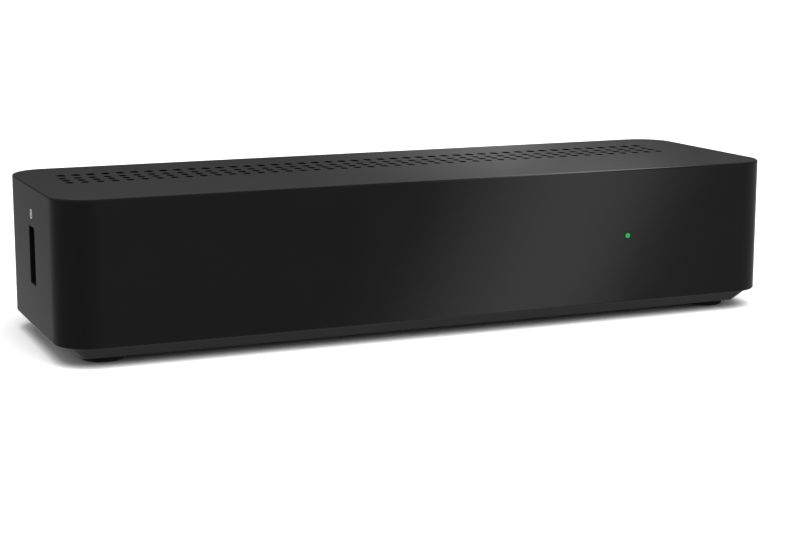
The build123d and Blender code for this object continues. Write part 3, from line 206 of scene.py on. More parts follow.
# %% Finish class
class Finish(Wires):
    """A material under way: its Principled shader, and noise in the object's own coordinates."""

    def __init__(self, name, **constants):
        self.material = bpy.data.materials.new(name)
        self.material.use_nodes = True
        super().__init__(self.material.node_tree)
        self.shader = self.tree.nodes["Principled BSDF"]
        self.place = self.object_place()
        for socket, value in constants.items():
            self.shader.inputs[socket.replace("_", " ")].default_value = value

    def feed(self, socket, signal):
        self.tree.links.new(signal.socket, self.shader.inputs[socket])

    def noise(self, size, detail=2.0, stretch=(1, 1, 1)):
        """Soft random values whose blotches are about this wide, in metres, or longer along an axis."""
        squeezed = self.node("ShaderNodeMapping", {}, {
            "Vector": self.place, "Scale": tuple(1 / (size * s) for s in stretch)})
        return self.node("ShaderNodeTexNoise", {}, {"Vector": squeezed, "Scale": 1.0, "Detail": detail})

    def cells(self, size):
        """Distance from the nearest of many scattered points, about this far apart, in metres."""
        return self.node("ShaderNodeTexVoronoi", {}, {"Vector": self.place, "Scale": 1 / size}, "Distance")

    def bump(self, height, depth):
        self.feed("Normal", self.node("ShaderNodeBump", {}, {
            "Strength": 1.0, "Distance": depth, "Height": height}))


finishes = {}
print("finish class ready")

# %% [markdown]
# ## The stage
# The box stands on a plain white floor. A floor that is bright enough to be white would need
# strong lamps, and those would wash out the black plastic. So the floor stays pale, and only
# what the camera and the reflections see of it is lifted to white. Its shadow stays, and right
# under the plinth, where hardly any light gets in, a darker shadow is painted into the floor's colour.

# %% Floor
FLOOR_HALF, FLOOR_COLOUR, FLOOR_LIFTED = 4.0, 0.8, 1.52
# The shadow painted under the plinth: how far in from the cover's outline it starts, how far it fades in, and
# how dark it gets
PLINTH_EDGE, SHADE_RUN, SHADE_DEPTH = 5.8 * MM, 3.4 * MM, 0.6


def seen_rays(wires):
    """1 for what the camera sees, directly, in a reflection or through glass, and 0 for plain light."""
    camera_ray = wires.node("ShaderNodeLightPath", output="Is Camera Ray")
    glossy_ray = wires.node("ShaderNodeLightPath", output="Is Glossy Ray")
    glass_ray = wires.node("ShaderNodeLightPath", output="Is Transmission Ray")
    return wires.limit(camera_ray + glossy_ray + glass_ray)


floor = add_object("floor", bpy.data.meshes.new("floor"))
floor_corners = ((-1, -1), (1, -1), (1, 1), (-1, 1))
floor.data.from_pydata([(x * FLOOR_HALF, y * FLOOR_HALF, 0) for x, y in floor_corners], [], [(0, 1, 2, 3)])
floor_paint = Finish("floor_paint", Roughness=1.0, Specular_IOR_Level=0.0)
cover_low, cover_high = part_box("top_cover")
# Painted shadow: the floor's colour is darkened inside the plinth's outline, fading in at its edges
painted_floor_shadow = SHADE_DEPTH
for name, first, last in zip("XY", cover_low, cover_high):
    place = floor_paint.axis(floor_paint.place, name)
    first, last = first + PLINTH_EDGE, last - PLINTH_EDGE
    painted_floor_shadow = floor_paint.edge(place, first, first + SHADE_RUN) * painted_floor_shadow
    painted_floor_shadow = floor_paint.edge(place, last, last - SHADE_RUN) * painted_floor_shadow
floor_colour = floor_paint.blend(grey(FLOOR_COLOUR), grey(FLOOR_LIFTED), seen_rays(floor_paint))
floor_paint.feed("Base Color", floor_paint.blend(floor_colour, grey(0.0), painted_floor_shadow))
floor.data.materials.append(floor_paint.material)
floor.visible_glossy = False
print("floor", 2 * FLOOR_HALF, "m wide")

# %% [markdown]
# ## Sky
# The world beyond the floor is white wherever it is seen, for the same reason, but as a light it is
# weak: it only lifts the shadows, as the pale walls of a studio do.

# %% Pale sky
SKY_LIGHT = 0.4
sky = bpy.data.worlds.new("studio")
scene.world = sky
sky.use_nodes = True
sky_wires = Wires(sky.node_tree)
sky_colour = sky_wires.blend(grey(SKY_LIGHT), grey(1.0), seen_rays(sky_wires))
sky.node_tree.links.new(sky_colour.socket, sky.node_tree.nodes["Background"].inputs["Color"])
print("sky light", SKY_LIGHT)

# %% [markdown]
# ## Lamp
# One large soft lamp, high and a little in front, gives the floor its light and the box its
# short soft shadow. A sun lamp is used because its light doesn't fade with distance, so the
# floor is as white at the top of the picture as it is beside the box.

# %% High lamp
SUN_STRENGTH, SUN_SOFTNESS = 2.2, 60
SUN_FROM = Vector((0.02, -0.45, 0.9))
sun = add_object("high_lamp", bpy.data.lights.new("high_lamp", "SUN"))
sun.data.energy, sun.data.angle = SUN_STRENGTH, math.radians(SUN_SOFTNESS)
sun.rotation_euler = SUN_FROM.to_track_quat("Z", "Y").to_euler()
sun.visible_glossy = False
print("lamp from", [round(v, 2) for v in SUN_FROM.normalized()])

# %% [markdown]
# ## Light tent
# A black box shows its surroundings more than its own colour, so a photographer stands it in a
# tent of grey cards. Here the tent is a drum around the box that only reflections can see. It is
# a ring of wall faces with a face for the floor and one for the ceiling.

# %% Drum of cloth
TENT_RADIUS, TENT_LOW, TENT_HIGH, TENT_SIDES = 0.7, -0.4, 0.3, 96
tent = add_object("light_tent", bpy.data.meshes.new("light_tent"))
tent_angles = [2 * math.pi * i / TENT_SIDES for i in range(TENT_SIDES)]
tent_ring = [(TENT_RADIUS * math.sin(a), -TENT_RADIUS * math.cos(a)) for a in tent_angles]
tent_walls = [(i, (i + 1) % TENT_SIDES, TENT_SIDES + (i + 1) % TENT_SIDES, TENT_SIDES + i)
              for i in range(TENT_SIDES)]
tent_ends = [tuple(range(TENT_SIDES)), tuple(range(TENT_SIDES, 2 * TENT_SIDES))]
tent.data.from_pydata(
    [(x, y, z) for z in (TENT_LOW, TENT_HIGH) for x, y in tent_ring], [], tent_walls + tent_ends)
print("tent", 2 * TENT_RADIUS, "m across")

# %% [markdown]
# ## Cards of the tent
# The cloth is dark in front, with one brighter strip that draws the tall soft gleam on the front
# face, and it has a second card behind for the gleam on the lid. Below the level of the floor it has
# its own brightness, because the upright faces, seen from above, mirror what lies below that level.
# The ceiling is dark but for one bright band, which draws the short spark on the lid's front edge.

# %% Levels of the cloth
# Stops are degrees round the drum and a level: 0 is in front, 90 to the right, 180 behind
LOW_LEVELS = (
    (-180, 0.6), (-166, 0.30), (-160.5, 0.14), (-152, 0.19), (-142, 0.20), (-130, 0.17), (-116, 0.135),
    (-90, 0.10), (-40, 0.07), (0, 0.12), (6, 0.15), (22.3, 0.13), (24.6, 0.58), (28.5, 1.04), (31.8, 0.98),
    (33.6, 0.16), (40, 0.18), (70, 0.20), (100, 0.25), (150, 0.55), (180, 0.6),
)
HIGH_LEVELS = (
    (-180, 0.042), (-110, 0.12), (0, 0.15), (22.3, 0.13), (24.6, 0.58), (28.5, 1.04), (31.8, 0.98),
    (33.6, 0.16), (110, 0.10), (138, 0.08), (142, 0.084), (145.2, 0.12), (146.6, 0.27), (147.8, 0.38),
    (149.5, 0.36), (151.5, 0.28), (155.5, 0.13), (159.5, 0.045), (180, 0.042),
)
# Metres to the right and a share of the brightest level, for the ceiling
CEILING_SHARES = (
    (-0.7, 0.0), (0.13, 0.0), (0.155, 0.14), (0.175, 0.56), (0.193, 0.84), (0.212, 1.0), (0.222, 0.75),
    (0.235, 0.2), (0.25, 0.03), (0.7, 0.0),
)
TENT_FLOOR_LEVEL, CEILING_LEVEL, CEILING_BRIGHTEST = 0.28, 0.15, 3.9
print("tent levels", len(LOW_LEVELS), len(HIGH_LEVELS), len(CEILING_SHARES))

# %% [markdown]
# ## Cloth of the tent
# The cloth glows by itself, so its shader is one emission. Its level is looked up from the turn
# round the drum, and mixed by height. The strip in front leans, because the gleam in the picture
# does. Behind, the lid mirrors a low band of the cloth: its front edge sees the top of that band.

# %% Glow of the cloth
STRIP_LEAN, LEAN_REACH, LEAN_LEVEL, TENT_BLEND = 31.0, 0.61, -0.1, 0.03
LID_BAND, LID_LEAN, LID_HAZE, LID_HAZE_LEVEL = (0.1135, 0.128), 7.0, 0.52, 0.18
BEHIND_FADE, BAND_HALF, BAND_FADE = 0.1, 0.3, 0.035
tent_cloth = bpy.data.materials.new("tent_cloth")
tent_cloth.use_nodes = True
tent_cloth.node_tree.nodes.clear()
cloth = Wires(tent_cloth.node_tree)
tent_place = cloth.object_place()
tent_x, tent_y, tent_z = (cloth.axis(tent_place, name) for name in "XYZ")
tent_turn = cloth.node("ShaderNodeMath", {"operation": "ARCTAN2"}, {0: tent_x, 1: 0 - tent_y})
tent_turn = tent_turn / (2 * math.pi) + 0.5


def tent_ramp(levels, span, share):
    """A level for each share of a span, which has zero in its middle."""
    stops = [(place / span + 0.5, grey(level)) for place, level in levels]
    return cloth.node("ShaderNodeValToRGB", {"stops": stops}, {0: share})


leaning_turn = tent_turn + (tent_z - LEAN_LEVEL) * tent_y * (STRIP_LEAN / 360 / LEAN_REACH)
behind = cloth.limit(tent_y / BEHIND_FADE)
lid_share = cloth.edge(tent_z, *LID_BAND)
lid_turn = tent_turn + behind * (lid_share - 0.5) * (LID_LEAN / 360)
low_level = tent_ramp(LOW_LEVELS, 360, leaning_turn)
high_level = cloth.blend(
    tent_ramp(HIGH_LEVELS, 360, lid_turn), grey(LID_HAZE_LEVEL), behind * lid_share * LID_HAZE)
tent_level = cloth.blend(low_level, high_level, cloth.limit(tent_z / TENT_BLEND + 0.5))
on_floor = cloth.node("ShaderNodeMath", {"operation": "LESS_THAN"}, {0: tent_z, 1: TENT_LOW + MM})
tent_level = cloth.blend(tent_level, grey(TENT_FLOOR_LEVEL), on_floor)
ceiling_share = tent_ramp(CEILING_SHARES, 2 * TENT_RADIUS, tent_x / (2 * TENT_RADIUS) + 0.5)
overhead = cloth.limit((BAND_HALF ** 2 - tent_y * tent_y) / BAND_FADE)
ceiling_level = CEILING_LEVEL + ceiling_share * overhead * CEILING_BRIGHTEST
on_ceiling = cloth.node("ShaderNodeMath", {"operation": "GREATER_THAN"}, {0: tent_z, 1: TENT_HIGH - MM})
tent_level = cloth.blend(tent_level, ceiling_level, on_ceiling)
glow = cloth.node("ShaderNodeEmission", {}, {"Color": tent_level})
cloth.node("ShaderNodeOutputMaterial", {}, {"Surface": glow})
tent_cloth.cycles.emission_sampling = "NONE"
tent.data.materials.append(tent_cloth)
tent.visible_camera = tent.visible_diffuse = tent.visible_transmission = tent.visible_shadow = False
print("cloth nodes", len(tent_cloth.node_tree.nodes))

# %% [markdown]
# ## Painted shadow in the vents
# The vents of the lid look like holes, because light that enters them is lost inside. That shade
# is painted on their walls: they get the darkest finish there is, black as a metal, which mirrors
# only its own colour and is darker than the real plastic. A mask finds those walls by their place,
# so that the lid with its vents can be one piece.

# %% Walls of the vents
TOP, FEATHER, FACE_SKIN = cover_high.z, 0.1 * MM, 0.02 * MM
VENT_COLUMNS, VENT_PITCH, VENT_ROWS, VENT_ROW_PITCH = 45, 3.43 * MM, 3, 3.6 * MM
VENT_START_X, VENT_START_Y, VENT_BACK_X, VENT_BACK_Y = -78.45 * MM, -4.1 * MM, -77.7 * MM, 8.25 * MM
VENT_RUN, VENT_REACH_X, VENT_REACH_Y = (VENT_COLUMNS - 1) * VENT_PITCH, 1.1 * MM, 1.7 * MM
VENT_FIELD = ((VENT_START_X - VENT_REACH_X, VENT_BACK_X + VENT_RUN + VENT_REACH_X),
              (VENT_START_Y - VENT_REACH_Y, VENT_BACK_Y + VENT_REACH_Y))


def vent_shadow(finish):
    """1 on the walls of the vents, where black shade is painted: below the face of the lid and inside the
    field of vents.
    """
    shadow = finish.edge(finish.axis(finish.place, "Z"), TOP - FACE_SKIN, TOP - FEATHER)
    for name, (start, end) in zip("XY", VENT_FIELD):
        place = finish.axis(finish.place, name)
        shadow = shadow * finish.edge(place, start - FEATHER, start) * finish.edge(place, end + FEATHER, end)
    return shadow


print("vents between", [[round(v / MM, 2) for v in ends] for ends in VENT_FIELD])

# %% [markdown]
# ## Moulded plastics
# The case and most sockets are injection-moulded. The mould is etched, so the skin has a fine even
# grain that softens reflections, and the colour drifts a little where the melt flowed. A flat black
# would look like a hole in the picture: the grain and the drift are what say plastic.

# %% Plastics
# Each row: darkest colour, lightest colour, roughness, width of the grain and its depth in mm
PLASTICS = {
    "cover_plastic": ((0.0060, 0.0060, 0.0061), (0.0080, 0.0078, 0.0078), 0.13, 0.40, 0.0030),
    "tray_plastic": ((0.0070, 0.0070, 0.0072), (0.0100, 0.0098, 0.0098), 0.40, 0.50, 0.0080),
    "socket_black": ((0.0080, 0.0080, 0.0082), (0.0130, 0.0130, 0.0130), 0.42, 0.30, 0.0040),
    "switch_black": ((0.0080, 0.0080, 0.0080), (0.0120, 0.0120, 0.0120), 0.36, 0.35, 0.0050),
    "rocker_black": ((0.0070, 0.0070, 0.0070), (0.0100, 0.0100, 0.0100), 0.28, 0.30, 0.0030),
    "receiver_dark": ((0.0040, 0.0030, 0.0060), (0.0070, 0.0050, 0.0090), 0.14, 0.60, 0.0010),
    "insulator_white": ((0.6700, 0.6600, 0.6300), (0.7600, 0.7500, 0.7200), 0.45, 0.40, 0.0040),
    "jack_yellow": ((0.6000, 0.3400, 0.0200), (0.6900, 0.4100, 0.0300), 0.38, 0.35, 0.0040),
    "insert_orange": ((0.5800, 0.1300, 0.0100), (0.6800, 0.1700, 0.0150), 0.40, 0.35, 0.0040),
    "small_part_tan": ((0.3000, 0.2000, 0.1200), (0.4000, 0.2800, 0.1700), 0.50, 0.30, 0.0050),
    "pad_grey": ((0.2600, 0.2700, 0.2900), (0.3300, 0.3400, 0.3600), 0.75, 0.60, 0.0200),
    "ferrite_grey": ((0.0300, 0.0300, 0.0320), (0.0550, 0.0540, 0.0520), 0.65, 0.25, 0.0150),
}
FLOW_DRIFT, ROUGH_DROP, DRIFT_ROUGH, GRAIN_ROUGH = 12 * MM, 0.03, 0.04, 0.02
# The black that is painted on the walls of the vents as shade, and the rule that finds those walls for each
# plastic
PAINTED_VENT_BLACK, PAINTED_SHADES = grey(0.0005), {"cover_plastic": vent_shadow}


def moulded_plastic(name, dark, light, rough, grain, depth):
    """Plastic with the fine even grain of an etched mould, and black painted as shade where a shadow rule
    says so.
    """
    finish = Finish(name)
    drift = finish.noise(FLOW_DRIFT, detail=3.0)
    fine = finish.noise(grain * MM)
    colour = finish.blend(dark, light, drift)
    # Painted shade: where the rule finds vent walls, the colour turns black and metallic
    if name in PAINTED_SHADES:
        painted_shade_mask = PAINTED_SHADES[name](finish)
        colour = finish.blend(colour, PAINTED_VENT_BLACK, painted_shade_mask)
        finish.feed("Metallic", painted_shade_mask)
    finish.feed("Base Color", colour)
    finish.feed("Roughness", rough - ROUGH_DROP + DRIFT_ROUGH * drift + GRAIN_ROUGH * fine)
    finish.bump(fine, depth * MM)
    return finish.material


for slot_name, recipe in PLASTICS.items():
    finishes[slot_name] = moulded_plastic(slot_name, *recipe)
print("plastics", len(PLASTICS))

# %% [markdown]
# ## Plated metals
# Sockets, screws and cans are stamped or turned, then plated. Plating is even in colour but carries
# fine tool marks in one direction and dull clouds where fingers and tools touched it. The marks are
# noise that is stretched along the piece, and they change both the roughness and the bump.

# %% Metals
# Each row: colour, roughness, and how far the tool marks run along x, y and z
METALS = {
    "screw_steel": ((0.50, 0.50, 0.51), 0.30, (6, 6, 1)),
    "can_steel": ((0.60, 0.60, 0.59), 0.26, (20, 1, 1)),
    "socket_nickel": ((0.68, 0.65, 0.60), 0.20, (1, 12, 1)),
    "washer_steel": ((0.55, 0.54, 0.51), 0.28, (4, 1, 4)),
    "usb_metal": ((0.16, 0.16, 0.17), 0.34, (1, 1, 14)),
    "contact_gold": ((0.83, 0.58, 0.24), 0.18, (1, 10, 1)),
    "terminal_tin": ((0.72, 0.72, 0.70), 0.30, (1, 1, 8)),
    "capacitor_can": ((0.66, 0.66, 0.67), 0.24, (8, 8, 1)),
    "sink_aluminium": ((0.60, 0.61, 0.62), 0.34, (1, 20, 1)),
}
TOOL_MARK, MARK_DEPTH, TOUCH_CLOUD, CLOUD_EDGE = 0.12 * MM, 0.002 * MM, 3 * MM, (0.3, 0.6)
DULL_SHARE, SHINE_DROP, MARK_ROUGH, CLOUD_ROUGH = 0.82, 0.06, 0.12, 0.08


def plated_metal(name, colour, rough, run):
    """Plated metal with fine tool marks that run along the piece."""
    finish = Finish(name, Metallic=1.0)
    marks = finish.noise(TOOL_MARK, stretch=run)
    cloud = finish.noise(TOUCH_CLOUD, detail=3.0)
    dull = tuple(DULL_SHARE * c for c in colour)
    finish.feed("Base Color", finish.blend(dull, colour, finish.edge(cloud, *CLOUD_EDGE)))
    finish.feed("Roughness", rough - SHINE_DROP + MARK_ROUGH * marks + CLOUD_ROUGH * cloud)
    finish.bump(marks, MARK_DEPTH)
    return finish.material


for slot_name, recipe in METALS.items():
    finishes[slot_name] = plated_metal(slot_name, *recipe)
print("metals", len(METALS))

# %% [markdown]
# ## Rubber, paint and chip resin
# Three finishes that differ in their skin. The feet are soft rubber, dull and dusty. The rear
# panel is coated with powder that melted into tiny soft hills, like the peel of an orange. Chips
# are cast in black resin with a fine speckle of filler in it.

# %% Skins
RUBBER_GRAIN, RUBBER_DEPTH, DUST_PATCH, DUST_EDGE = 0.35 * MM, 0.02 * MM, 2.5 * MM, (0.5, 0.8)
RUBBER_BLACK, RUBBER_DUSTY, RUBBER_ROUGH = (0.010, 0.010, 0.010), (0.030, 0.029, 0.027), (0.72, 0.87)
rubber = Finish("foot_rubber", Specular_IOR_Level=0.3)
rubber_grain = rubber.noise(RUBBER_GRAIN, detail=3.0)
dust = rubber.edge(rubber.noise(DUST_PATCH, detail=4.0), *DUST_EDGE)
rubber.feed("Base Color", rubber.blend(RUBBER_BLACK, RUBBER_DUSTY, dust))
rubber.feed("Roughness", rubber.between(*RUBBER_ROUGH, rubber_grain))
rubber.bump(rubber_grain, RUBBER_DEPTH)
finishes["foot_rubber"] = rubber.material

PEEL_WIDTH, PEEL_DEPTH, PAINT_CLOUD = 0.55 * MM, 0.012 * MM, 9 * MM
PAINT_DARK, PAINT_LIGHT, PAINT_ROUGH = (0.0075, 0.0075, 0.0078), (0.0110, 0.0110, 0.0112), (0.38, 0.48)
paint = Finish("panel_paint")
peel = paint.noise(PEEL_WIDTH, detail=1.0)
paint.feed("Base Color", paint.blend(PAINT_DARK, PAINT_LIGHT, paint.noise(PAINT_CLOUD)))
paint.feed("Roughness", paint.between(*PAINT_ROUGH, peel))
paint.bump(peel, PEEL_DEPTH)
finishes["panel_paint"] = paint.material

RESIN_SPECK, SPECK_DEPTH, SPECK_EDGE = 0.15 * MM, 0.004 * MM, (0.1, 0.5)
RESIN_FILLER, RESIN_BLACK, RESIN_ROUGH = (0.030, 0.030, 0.031), (0.012, 0.012, 0.013), (0.50, 0.65)
resin = Finish("chip_black")
speck = resin.cells(RESIN_SPECK)
resin.feed("Base Color", resin.blend(RESIN_FILLER, RESIN_BLACK, resin.edge(speck, *SPECK_EDGE)))
resin.feed("Roughness", resin.between(*RESIN_ROUGH, speck))
resin.bump(speck, SPECK_DEPTH)
finishes["chip_black"] = resin.material
print("skins: rubber, paint, resin")

# %% [markdown]
# ## The board's green coat
# A printed circuit board is glass cloth under a thin green lacquer. Copper tracks lie below the
# lacquer, so they show as slightly raised, lighter lines with square turns, and small bare dots
# of tin dot the surface. Two sets of bricks, one turned across the other, give such lines.

# %% Circuit board
TRACK_PITCH, TRACK_WIDTH, TRACK_DEPTH, TRACK_PATCH = 1.1 * MM, 0.16, 0.03 * MM, 9 * MM
TRACK_RUNS, TRACK_STEP, PATCH_EDGE = (6.0, 4.0), 0.37, (0.5, 0.48)
VIA_PITCH, VIA_EDGE = 2.6 * MM, (0.07, 0.09)
LACQUER_CLOUD, LACQUER_ROUGH, TRACK_SHINE = 0.6 * MM, (0.30, 0.42), 0.05
LACQUER_GREEN, TRACK_GREEN, VIA_TIN = (0.004, 0.045, 0.018), (0.012, 0.095, 0.036), (0.60, 0.58, 0.52)
board = Finish("board_green", Specular_IOR_Level=0.5)


def tracks(turn, run, patch_start, patch_end):
    """1 on copper lines that step along one direction, in the patches of the board that they fill."""
    rotated = board.node("ShaderNodeMapping", {}, {
        "Vector": board.place, "Rotation": (0, 0, turn), "Scale": (1 / TRACK_PITCH,) * 3})
    lines = board.node("ShaderNodeTexBrick", {"offset": TRACK_STEP, "squash": 1.0}, {
        "Vector": rotated, "Scale": 1.0, "Mortar Size": TRACK_WIDTH, "Mortar Smooth": 0.1,
        "Brick Width": run, "Row Height": 0.5}, "Fac")
    return lines * board.edge(board.noise(TRACK_PATCH, detail=1.0), patch_start, patch_end)


across = tracks(0, TRACK_RUNS[0], *PATCH_EDGE)
copper = board.limit(across + tracks(math.pi / 2, TRACK_RUNS[1], *reversed(PATCH_EDGE)))
vias = 1 - board.edge(board.cells(VIA_PITCH), *VIA_EDGE)
board.feed("Base Color", board.blend(board.blend(LACQUER_GREEN, TRACK_GREEN, copper), VIA_TIN, vias))
board.feed("Metallic", vias)
lacquer_rough = board.between(*LACQUER_ROUGH, board.noise(LACQUER_CLOUD))
board.feed("Roughness", lacquer_rough - TRACK_SHINE * copper)
board.bump(copper + vias, TRACK_DEPTH)
finishes["board_green"] = board.material
print("board tracks every", TRACK_PITCH / MM, "mm")

# %% [markdown]
# ## Lights and print
# The status light reaches the front through a rod of clear plastic, tinted green by the lamp at its
# foot. Its end is brightest in a ring, where the walls of the rod mirror the lamp: that ring is a
# reflection painted into the glow. Its rim is painted darker, as shade from the edge of the hole.
# The print beside the sockets is white ink, a little thin in places.

# %% Light pipe and ink
def middle_of(node_name):
    """The middle of a node's box."""
    low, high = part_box(node_name)
    return (low + high) / 2


LIGHT_X, LIGHT_Z, PIPE_RADIUS = middle_of("light_pipe").x, 20.5 * MM, 0.65 * MM
RING_FROM, RING_FULL, RIM_FROM = 0.30, 0.55, 0.85
# Colours of the rod's end: a bright ring painted into the glow as a reflection, and a rim painted darker as
# shade from the hole's edge
PIPE_GREEN, PIPE_SHADED_RIM = (0.004, 0.03, 0.01), (0.002, 0.01, 0.004)
GLOW_MIDDLE, GLOW_RING, GLOW_SHADED_RIM = (0.008, 0.29, 0.045), (0.055, 0.42, 0.115), (0.004, 0.07, 0.018)
pipe = Finish("light_green", Roughness=0.12, Specular_IOR_Level=0.1, Emission_Strength=1.0)
off_x, off_z = pipe.axis(pipe.place, "X") - LIGHT_X, pipe.axis(pipe.place, "Z") - LIGHT_Z
from_axis = pipe.node("ShaderNodeMath", {"operation": "SQRT"}, {0: off_x * off_x + off_z * off_z})
# Shares of the painted reflection ring and of the painted shade at the rim
painted_glow_ring = pipe.edge(from_axis, RING_FROM * PIPE_RADIUS, RING_FULL * PIPE_RADIUS)
painted_rim_shade = pipe.edge(from_axis, RIM_FROM * PIPE_RADIUS, PIPE_RADIUS)
pipe.feed("Base Color", pipe.blend(PIPE_GREEN, PIPE_SHADED_RIM, painted_rim_shade))
pipe.feed("Emission Color", pipe.blend(pipe.blend(GLOW_MIDDLE, GLOW_RING, painted_glow_ring), GLOW_SHADED_RIM, painted_rim_shade))
finishes["light_green"] = pipe.material

LENS_CLOUD, LENS_DULL, LENS_CLEAR = 0.4 * MM, (0.50, 0.62, 0.48), (0.64, 0.74, 0.60)
LENS_DIM, LENS_BRIGHT, LENS_ROUGH = (0.03, 0.45, 0.10), (0.05, 0.70, 0.16), (0.2, 0.3)
lens = Finish("led_lens", Emission_Strength=1.0)
lens_cloud = lens.noise(LENS_CLOUD)
lens.feed("Base Color", lens.blend(LENS_DULL, LENS_CLEAR, lens_cloud))
lens.feed("Emission Color", lens.blend(LENS_DIM, LENS_BRIGHT, lens_cloud))
lens.feed("Roughness", lens.between(*LENS_ROUGH, lens_cloud))
finishes["led_lens"] = lens.material

INK_GRAIN, INK_EDGE, INK_ROUGH = 0.25 * MM, (0.3, 0.5), (0.5, 0.6)
INK_THIN, INK_FULL = (0.84, 0.84, 0.84), (0.93, 0.93, 0.92)
ink = Finish("print_white")
ink_cover = ink.noise(INK_GRAIN, detail=3.0)
ink.feed("Base Color", ink.blend(INK_THIN, INK_FULL, ink.edge(ink_cover, *INK_EDGE)))
ink.feed("Roughness", ink.between(*INK_ROUGH, ink_cover))
print("finishes", len(finishes))

# %% [markdown]
# ## Finishes on the frame
# Each node of the CAD model names the slot that its finish comes from, so one loop dresses all of
# them. Some nodes are then replaced below by pieces with more shape. The rest keep their solids.

# %% Dress every node
slot_of = {}
for node_name, node in nodes.items():
    slot_of[node_name] = node.data.materials[0].name.split(".")[0]
    node.data.materials[0] = finishes[slot_of[node_name]]
print("dressed", len(nodes), "nodes in", len(finishes), "finishes")

# %% [markdown]
# ## Tools for making pieces
# Two ways of making a mesh by hand recur below. Rings of points stacked on each other give shells
# and prisms. A profile turned about an axis gives sockets, nuts and feet. Both start as a bmesh, and
# several of them can be joined in one plain mesh.

# %% Rings and turned shapes
def rounded_rectangle(width, height, corner, steps):
    """Points of a rounded rectangle about the origin, anticlockwise."""
    points = []
    for quarter, (side_x, side_y) in enumerate(((1, 1), (-1, 1), (-1, -1), (1, -1))):
        for step in range(steps + 1):
            angle = math.radians(90 * (quarter + step / steps))
            points.append((side_x * (width / 2 - corner) + corner * math.cos(angle),
                           side_y * (height / 2 - corner) + corner * math.sin(angle)))
    return points


def stack_rings(rings, closed=False):
    """A skin through rings of as many points: capped at both ends, or joined end to end if closed."""
    skin = bmesh.new()
    rows = [[skin.verts.new(point) for point in ring] for ring in rings]
    for lower, upper in zip(rows, rows[1:] + rows[:1] if closed else rows[1:]):
        for i in range(len(lower)):
            j = (i + 1) % len(lower)
            skin.faces.new((lower[i], lower[j], upper[j], upper[i]))
    if not closed:
        skin.faces.new(rows[0])
        skin.faces.new(rows[-1])
    bmesh.ops.recalc_face_normals(skin, faces=skin.faces)
    return skin


def turned(profile, sides, closed=True):
    """A profile of (radius, height) turned about the z axis; a radius may be a rule of the angle."""
    angles = [2 * math.pi * i / sides for i in range(sides)]
    rings = []
    for radius, height in profile:
        reach = [radius(a) if callable(radius) else radius for a in angles]
        rings.append([(r * math.cos(a), r * math.sin(a), height) for r, a in zip(reach, angles)])
    return stack_rings(rings, closed)


def block(low, high):
    """A box between two corners."""
    corners = ((low[0], low[1]), (high[0], low[1]), (high[0], high[1]), (low[0], high[1]))
    return stack_rings([[(x, y, z) for x, y in corners] for z in (low[2], high[2])])


def joined(shapes):
    """One mesh of several shapes, each a bmesh that is used up."""
    mesh = bpy.data.meshes.new("joined")
    whole = bmesh.new()
    for shape in shapes:
        shape.to_mesh(mesh)
        whole.from_mesh(mesh)
        shape.free()
    whole.to_mesh(mesh)
    whole.free()
    return mesh


print("mesh tools ready")

# %% [markdown]
# ## Trees that repeat
# What repeats along a row, a grid or a spiral comes from a Geometry Nodes tree. A tree takes a start
# mesh and sizes with names, and what it makes is turned into one plain mesh at the origin. The class
# keeps a tree's named sizes together with the values that its modifier gives them.

# %% Geometry Nodes recipes
def settle(piece):
    """Turns what the modifiers make into the piece's own plain mesh."""
    depsgraph = bpy.context.evaluated_depsgraph_get()
    mesh = bpy.data.meshes.new_from_object(piece.evaluated_get(depsgraph))
    piece.modifiers.clear()
    piece.data = mesh
    mesh.name = piece.name
    return piece


class Recipe(Wires):
    """A Geometry Nodes tree under way: a mesh to start from, named sizes, and one plain mesh out of it."""

    def __init__(self, name):
        super().__init__(bpy.data.node_groups.new(name, "GeometryNodeTree"))
        for side in ("INPUT", "OUTPUT"):
            self.tree.interface.new_socket("Geometry", in_out=side, socket_type="NodeSocketGeometry")
        self.entry = self.tree.nodes.new("NodeGroupInput")
        self.start = Signal(self, self.entry.outputs["Geometry"])
        self.values = {}

    def size(self, name, value):
        """A named input of the tree and the value that the modifier will give it."""
        kind = {int: "NodeSocketInt", float: "NodeSocketFloat"}.get(type(value), "NodeSocketVector")
        made = self.tree.interface.new_socket(name, in_out="INPUT", socket_type=kind)
        self.values[made.identifier] = value
        return Signal(self, self.entry.outputs[name])

    def vector(self, x=0.0, y=0.0, z=0.0):
        return self.node("ShaderNodeCombineXYZ", {}, {"X": x, "Y": y, "Z": z})

    def moved(self, shape, by=(0, 0, 0), turn=(0, 0, 0)):
        return self.node("GeometryNodeTransform", {}, {
            "Geometry": shape, "Translation": by, "Rotation": turn})

    def shape_of(self, helper):
        """The mesh of a helper piece."""
        return self.node("GeometryNodeObjectInfo", {}, {"Object": helper}, "Geometry")

    def repeated(self, points, shape):
        """Real copies of a shape, one at each point."""
        copies = self.node("GeometryNodeInstanceOnPoints", {}, {"Points": points, "Instance": shape})
        return self.node("GeometryNodeRealizeInstances", {}, {"Geometry": copies})

    def boolean(self, operation, sockets):
        return self.node("GeometryNodeMeshBoolean", {"operation": operation, "solver": "MANIFOLD"}, sockets)

    def make(self, name, shape, finish, start_mesh):
        """Ends the tree, runs it on the start mesh and gives back a piece with a plain mesh."""
        solid = self.node("GeometryNodeRealizeInstances", {}, {"Geometry": shape})
        coated = self.node("GeometryNodeSetMaterial", {}, {"Geometry": solid, "Material": finish})
        self.node("NodeGroupOutput", {}, {0: coated})
        piece = add_object(name, start_mesh)
        modifier = piece.modifiers.new(self.tree.name, "NODES")
        modifier.node_group = self.tree
        for identifier, value in self.values.items():
            modifier[identifier] = value
        return settle(piece)


print("recipe class ready")

